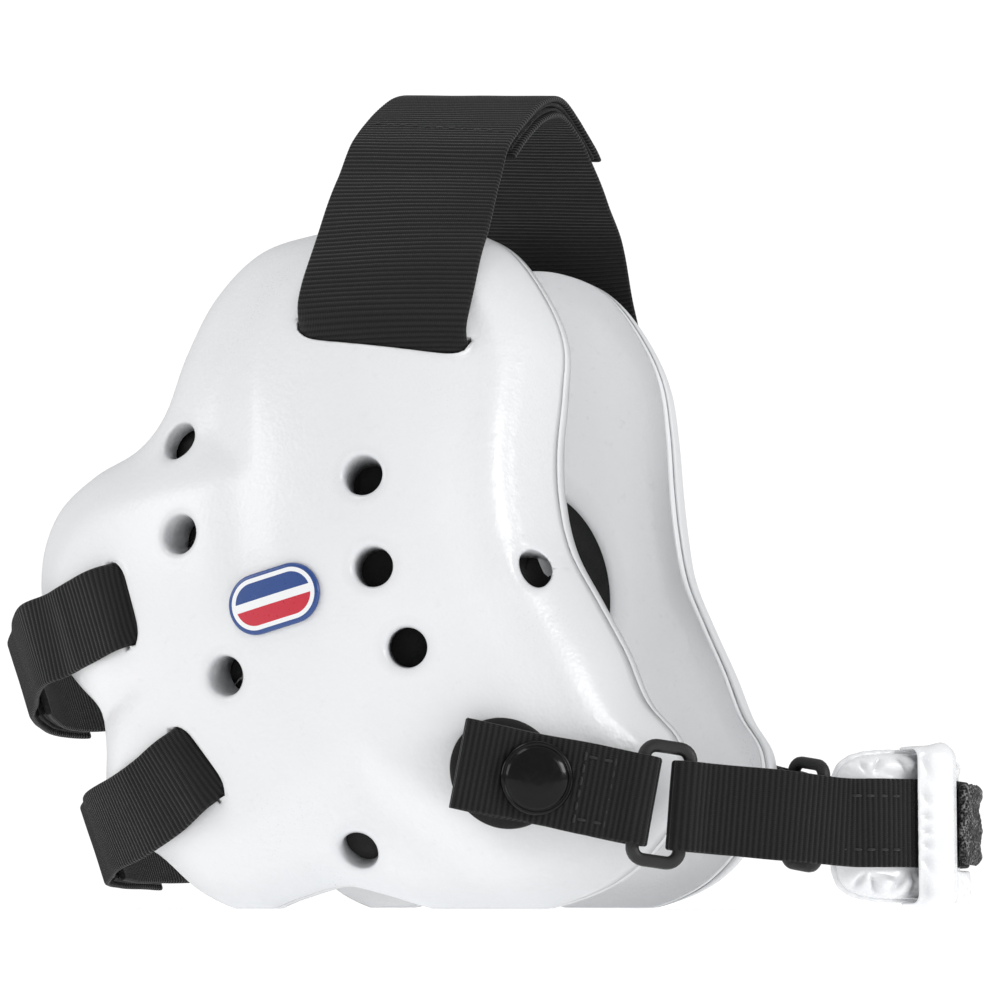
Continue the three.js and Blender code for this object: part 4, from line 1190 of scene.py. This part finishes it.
def chin_points():
    end = [spot(strap_at, x, -FOLD_GAP) for x in (25, 16)]
    end += round_bar(strap_at, RING_BAR_X, 1)[::-1]
    end += [spot(strap_at, x, FOLD_GAP) for x in (17, 27)]
    bend = [(CHIN_X + CHIN_RADIUS * math.cos(a), CHIN_RADIUS * math.sin(a), CHIN_Z)
            for a in np.radians(np.arange(54, -1, -9))]
    left = np.vstack([end, bend])
    return np.vstack([left, (left[:-1] * (1, -1, 1))[::-1]])


def chin_across(centre):
    lean = np.tile(strap_at[3], (len(centre), 1))
    lean[:, 1] *= np.sign(centre[:, 1])
    share = smooth(centre[:, 0], 74, 92)[:, None]
    return mix(lean, np.array([0, 0, 1.0]), share)


chin_web = narrow_web("chin_web", chin_points(), chin_across, 1, seed=11)
dress(chin_web, "webbing", "chin", "chin_strap")


# ---- Chin cup ----

def round_chin(angle, radius, z):
    a = np.radians(angle)
    return np.stack([CHIN_X + radius * np.cos(a), radius * np.sin(a), z + 0 * a], -1)


GATHERS = (-47, -30, -8, 12)  # angles at which the vinyl is gathered in to the strap


def cup_pad():
    """A stitched vinyl pad: crowned faces, gathered pleats above and below the strap."""
    mid_z, half_z = (PAD_TOP + PAD_BOTTOM) / 2, (PAD_TOP - PAD_BOTTOM) / 2
    mid_r, thick = (PAD_INNER + PAD_OUTER) / 2, (PAD_OUTER - PAD_INNER) / 2
    rings, around, power = 40, 220, 2 / 5.5
    turn = np.linspace(0, 2 * math.pi, around, endpoint=False)
    edge_u = np.sign(np.cos(turn)) * np.abs(np.cos(turn)) ** power
    edge_v = np.sign(np.sin(turn)) * np.abs(np.sin(turn)) ** power
    verts, folds = [], []
    for face in (1, -1):
        for k in range(rings + (1 if face > 0 else 0)):
            t = (k if face > 0 else rings - 1 - k) / rings
            share = math.sin(t * math.pi / 2) if t < 1 else 1.0
            u, v = edge_u * share, edge_v * share
            crown = np.sqrt(np.maximum(1 - share ** 7, 0))
            arc = u * PAD_HALF
            z = mid_z + v * half_z
            off = np.abs(z - CHIN_Z) - NARROW_WIDTH / 2 - 0.5
            clear = smooth(off, 0.0, 3.0)
            pleat = np.zeros(around)
            for gather in GATHERS:
                dx = (arc + PAD_CENTRE - gather) * math.radians(1) * PAD_OUTER
                from_strap = np.hypot(dx, off)
                angle = np.arctan2(off + 1.5, dx)
                spokes = (0.5 + 0.5 * np.cos(angle * 7.5 + gather + 2 * (z > CHIN_Z))) ** 3
                pleat += spokes * np.exp(-((from_strap - 3) / 5.5) ** 2)
            crush = wobble(np.stack([arc * 0.7, z], 1), 4.5, 31)
            pleat = np.clip(pleat, 0, 1) * clear * (1 - 0.7 * smooth(share, 0.9, 1.0))
            by_keeper = np.exp(-((arc + PAD_CENTRE - (KEEPER_FROM + KEEPER_TO) / 2) / 13) ** 2)
            swell = (0.9 + 1.2 * by_keeper) * clear if face > 0 else 0
            puff = (thick + swell - (1.9 if face > 0 else 0.6) * pleat + 0.3 * crush * clear) * crown
            press = 0.35 * (1 - clear) * crown if face > 0 else 0
            r = mid_r + face * (puff - press)
            verts.append(round_chin(PAD_CENTRE + arc, r, z))
            # Painted shade in the pleats, for the vinyl to grey.
            folds.append(0.8 * pleat * crown)
    rows = len(verts)
    verts, folds = np.vstack(verts), np.concatenate(folds)
    faces = grid_faces(rows, around, wrap=True)
    # The two centre rings have shrunk to a point each; close them.
    first = [tuple(range(around - 1, -1, -1))]
    last = [tuple(range((rows - 1) * around, rows * around))]
    obj = outward_ok(put("chin_cup_cushion", verts, faces + first + last))
    note(obj, "fold_shade", folds)
    return obj


def cup_stitching():
    """Two rows of stitches along the strap, where it is sewn to the cup's cover."""
    angles = np.arange(-66, -35, 4.6)
    places = np.vstack([round_chin(angles, CHIN_RADIUS + THIN_WEB / 2 - 0.02, CHIN_Z + z) for z in (-5.7, 5.7)])
    turn = np.radians(np.tile(angles, 2))
    flat = np.zeros_like(turn)
    along = np.stack([-np.sin(turn), np.cos(turn), flat], 1)
    out = np.stack([np.cos(turn), np.sin(turn), flat], 1)
    return stitches("chin_web_stitching", places[:0:-1], along[:0:-1], out[:0:-1])


dress(cup_stitching(), "thread", "chin", slot="webbing")

cushion = cup_pad()
dress(cushion, "vinyl", "cup", "chin_cup_pad")


def piping():
    """The sewn edge round the pad: a thin roll of vinyl, puckered by its stitches."""
    mid_z, half_z = (PAD_TOP + PAD_BOTTOM) / 2, (PAD_TOP - PAD_BOTTOM) / 2
    mid_r = (PAD_INNER + PAD_OUTER) / 2
    turn = np.linspace(0, 2 * math.pi, 720, endpoint=False)
    power = 2 / 5.5
    u = np.sign(np.cos(turn)) * np.abs(np.cos(turn)) ** power
    v = np.sign(np.sin(turn)) * np.abs(np.sin(turn)) ** power
    path = round_chin(PAD_CENTRE + u * PAD_HALF, mid_r, mid_z + v * half_z)
    count, around, pucker = 420, 10, 3.2
    path = resample(path, count, closed=True)
    along = unit(np.roll(path, -1, axis=0) - np.roll(path, 1, axis=0))
    radial = unit((path - (CHIN_X, 0, 0)) * (1, 1, 0))
    side_way = unit(np.cross(along, radial))
    s = np.arange(count) * length_of(path) / count
    radius = 0.75 + 0.05 * np.cos(2 * math.pi * s / pucker)
    c = np.linspace(0, 2 * math.pi, around, endpoint=False)
    verts = (path[:, None] + radial[:, None] * (radius[:, None] * np.cos(c))[..., None]
             + side_way[:, None] * (radius[:, None] * np.sin(c))[..., None])
    faces = []
    for i in range(count):
        a, b = i * around, (i + 1) % count * around
        for k in range(around):
            m = (k + 1) % around
            faces.append((a + k, a + m, b + m, b + k))
    obj = outward_ok(put("chin_cup_piping", verts.reshape(-1, 3), faces))
    # Painted shade at each stitch's pucker.
    note(obj, "fold_shade", np.repeat(0.1 - 0.1 * np.cos(2 * math.pi * s / pucker), around))
    return obj


dress(piping(), "vinyl", "cup")


def keeper():
    """The padded loop that the strap passes under: over the top, down the front and under."""
    bottom = PAD_BOTTOM - CLEARANCE - KEEPER_FLANGE
    top = PAD_TOP + CLEARANCE + KEEPER_FLANGE
    inset = KEEPER_FLANGE / 2
    r_mid = (KEEPER_INNER + KEEPER_OUTER) / 2
    corner = 2.2
    route = [(KEEPER_REACH, top - inset)]
    for a in np.radians(np.linspace(90, 0, 8)):
        route.append((r_mid - corner + corner * math.cos(a), top - inset - corner + corner * math.sin(a)))
    for a in np.radians(np.linspace(0, -90, 8)):
        route.append((r_mid - corner + corner * math.cos(a), bottom + inset + corner + corner * math.sin(a)))
    route.append((KEEPER_REACH, bottom + inset))
    count = 150
    route = resample(np.array(route), count)
    along = unit(np.gradient(route, axis=0))
    normal = np.stack([-along[:, 1], along[:, 0]], 1)
    normal *= np.sign(normal[count // 2, 0])
    s = np.arange(count) * length_of(route) / (count - 1)
    columns = 40
    u = np.linspace(0, 1, columns)
    verts, folds = [], []
    front = smooth(route[:, 0], KEEPER_REACH + 3, KEEPER_INNER)
    for face in (1, -1):
        for k in (range(columns) if face > 0 else range(columns - 1, -1, -1)):
            angle = mix(KEEPER_FROM, KEEPER_TO, u[k])
            edge = min(u[k], 1 - u[k]) * 13
            thick = KEEPER_FLANGE * mix(0.3, 0.62, smooth(u[k], 0, 0.5))
            thick = thick * math.sqrt(max(1 - max(1 - edge / 1.5, 0) ** 2, 0.02))
            crest = math.exp(-((u[k] - 0.64) / 0.22) ** 2)
            gather = math.exp(-((u[k] - 0.16) / 0.14) ** 2)
            wave = 0.5 + 0.5 * np.cos(2 * math.pi * s / 4.3 + 2.6 * np.sin(s * 0.27 + u[k] * 2))
            rise = (1.3 * crest + 0.5 * gather - 0.5 * gather * wave) * front
            lift = face * thick + (rise if face > 0 else rise * 0.2)
            r = route[:, 0] + normal[:, 0] * lift
            z = route[:, 1] + normal[:, 1] * lift
            verts.append(round_chin(np.full(150, angle), r, z))
            # Painted shade in the gathers.
            folds.append((0.25 + 0.5 * wave) * gather * front)
    faces = capped_tube(len(verts), count)
    obj = outward_ok(put("chin_cup_keeper_band", np.vstack(verts), faces))
    note(obj, "fold_shade", np.concatenate(folds))
    return obj


band = keeper()
dress(band, "vinyl", "cup", "chin_cup_keeper")


def cup_patch(name, start, end, bottom, top, pile_height):
    """A soft patch on the outside of the cup, with an uneven pile and ragged edges."""
    columns, rows = 46, 60
    v = np.linspace(-1, 1, rows)
    mid, half = (start + end) / 2, (end - start) / 2
    mid_z, half_z = (top + bottom) / 2, (top - bottom) / 2
    thick = (LOOP_OUTER - LOOP_INNER) / 2
    verts = []
    for face in (1, -1):
        for a in np.linspace(-face, face, columns):
            edge = np.minimum((1 - abs(a)) * half, (1 - np.abs(v)) * half_z)
            round_off = np.sqrt(np.clip(1 - np.clip(1 - edge / 1.4, 0, 1) ** 2, 0.03, 1))
            place = np.stack([np.full(rows, a * half * 0.7), v * half_z], 1)
            pile = pile_height * (wobble(place, 3.2, 21) + 0.5 * wobble(place, 1.1, 22))
            r = LOOP_INNER + thick + face * thick * round_off + (pile * round_off if face > 0 else 0)
            ragged = pile_height * wobble(np.stack([v * half_z, v * 0 + a * 3], 1), 1.6, 23)
            frayed = pile_height * 0.8 * wobble(place, 2.0, 24) * np.abs(v) ** 8
            verts.append(round_chin(mid + a * half + ragged * abs(a) ** 8, r, mid_z + v * half_z + frayed))
    return outward_ok(put(name, np.vstack(verts), capped_tube(len(verts), rows)))


fuzz = cup_patch("chin_cup_loop_tape", LOOP_FROM, LOOP_TO, CHIN_Z - LOOP_HALF, CHIN_Z + LOOP_HALF, 0.5)
dress(fuzz, "loop_fastener", "cup", "chin_cup_loop")
tag = cup_patch("chin_cup_tag", -14, -4, 1.2, 8.2, 0.12)
note(tag, "fold_shade", np.zeros(len(tag.data.vertices)))
dress(tag, "vinyl", "cup")


# ---- Floor, light and camera ----

def area_light(name, place, aim, size, power):
    data = bpy.data.lights.new(name, "AREA")
    data.size, data.energy = size, power
    lamp = bpy.data.objects.new(name, data)
    lamp.location = place
    lamp.rotation_euler = (Vector(aim) - Vector(place)).to_track_quat("-Z", "Y").to_euler()
    bpy.context.scene.collection.objects.link(lamp)


def plain(name, colour, glow):
    f = Finish(name)
    f.set(Base_Color=(*colour, 1), Roughness=0.9, Emission_Color=(1, 1, 1, 1), Emission_Strength=glow,
          Specular_IOR_Level=0.0)
    return f.material


floor_mesh = bpy.data.meshes.new("floor")
reach = 12.0
floor_mesh.from_pydata([(-reach, -reach, 0), (reach, -reach, 0), (reach, reach, 0), (-reach, reach, 0)], [],
                       [(0, 1, 2, 3)])
floor = bpy.data.objects.new("floor", floor_mesh)
floor.location.z = -0.0002
floor_mesh.materials.append(plain("floor", (0.9, 0.9, 0.9), 0.52))
bpy.context.scene.collection.objects.link(floor)

WORLD_LIGHT = 0.6
world = bpy.data.worlds.new("studio")
world.use_nodes = True
# The backdrop shows white, and lights the scene more dimly than it shows.
backdrop = world.node_tree.nodes["Background"]
seen = world.node_tree.nodes.new("ShaderNodeLightPath")
level = world.node_tree.nodes.new("ShaderNodeMapRange")
level.inputs["To Min"].default_value = WORLD_LIGHT
level.inputs["To Max"].default_value = 1.05
world.node_tree.links.new(seen.outputs["Is Camera Ray"], level.inputs["Value"])
world.node_tree.links.new(level.outputs[0], backdrop.inputs["Strength"])
backdrop.inputs["Color"].default_value = (1, 1, 1, 1)
bpy.context.scene.world = world
bpy.context.scene.view_settings.view_transform = "Standard"

middle = (CAD_BOX[0] + CAD_BOX[1]) / 2
area_light("key", (-0.9, -0.75, 0.45), middle, 0.5, 2.6)
area_light("top", (-0.25, -0.35, 1.1), middle, 0.4, 1.6)
area_light("side", (1.15, -0.45, 0.35), middle, 0.35, 1.2)
area_light("inside", (0.9, -0.12, 0.3), middle, 0.25, 2.2)

# The camera stands nearly on the floor, 20 degrees round towards the wearer's face, looking slightly up.
CAMERA_TURN, CAMERA_RANGE, CAMERA_HEIGHT = math.radians(20), 0.9, 0.003
CAMERA_RISE = math.atan(395 / 3940)
LENS_SHARE = 3.94  # focal length as a multiple of the picture's width
data = bpy.data.cameras.new("camera")
data.sensor_width = 36
data.lens = 36 * LENS_SHARE
camera = bpy.data.objects.new("camera", data)
camera.location = (SHIFT_X * MM + CAMERA_RANGE * math.sin(CAMERA_TURN),
                   -CAMERA_RANGE * math.cos(CAMERA_TURN), CAMERA_HEIGHT)
aim = Vector((-math.sin(CAMERA_TURN) * math.cos(CAMERA_RISE), math.cos(CAMERA_TURN) * math.cos(CAMERA_RISE),
              math.sin(CAMERA_RISE)))
camera.rotation_euler = aim.to_track_quat("-Z", "Y").to_euler()
bpy.context.scene.collection.objects.link(camera)
bpy.context.scene.camera = camera
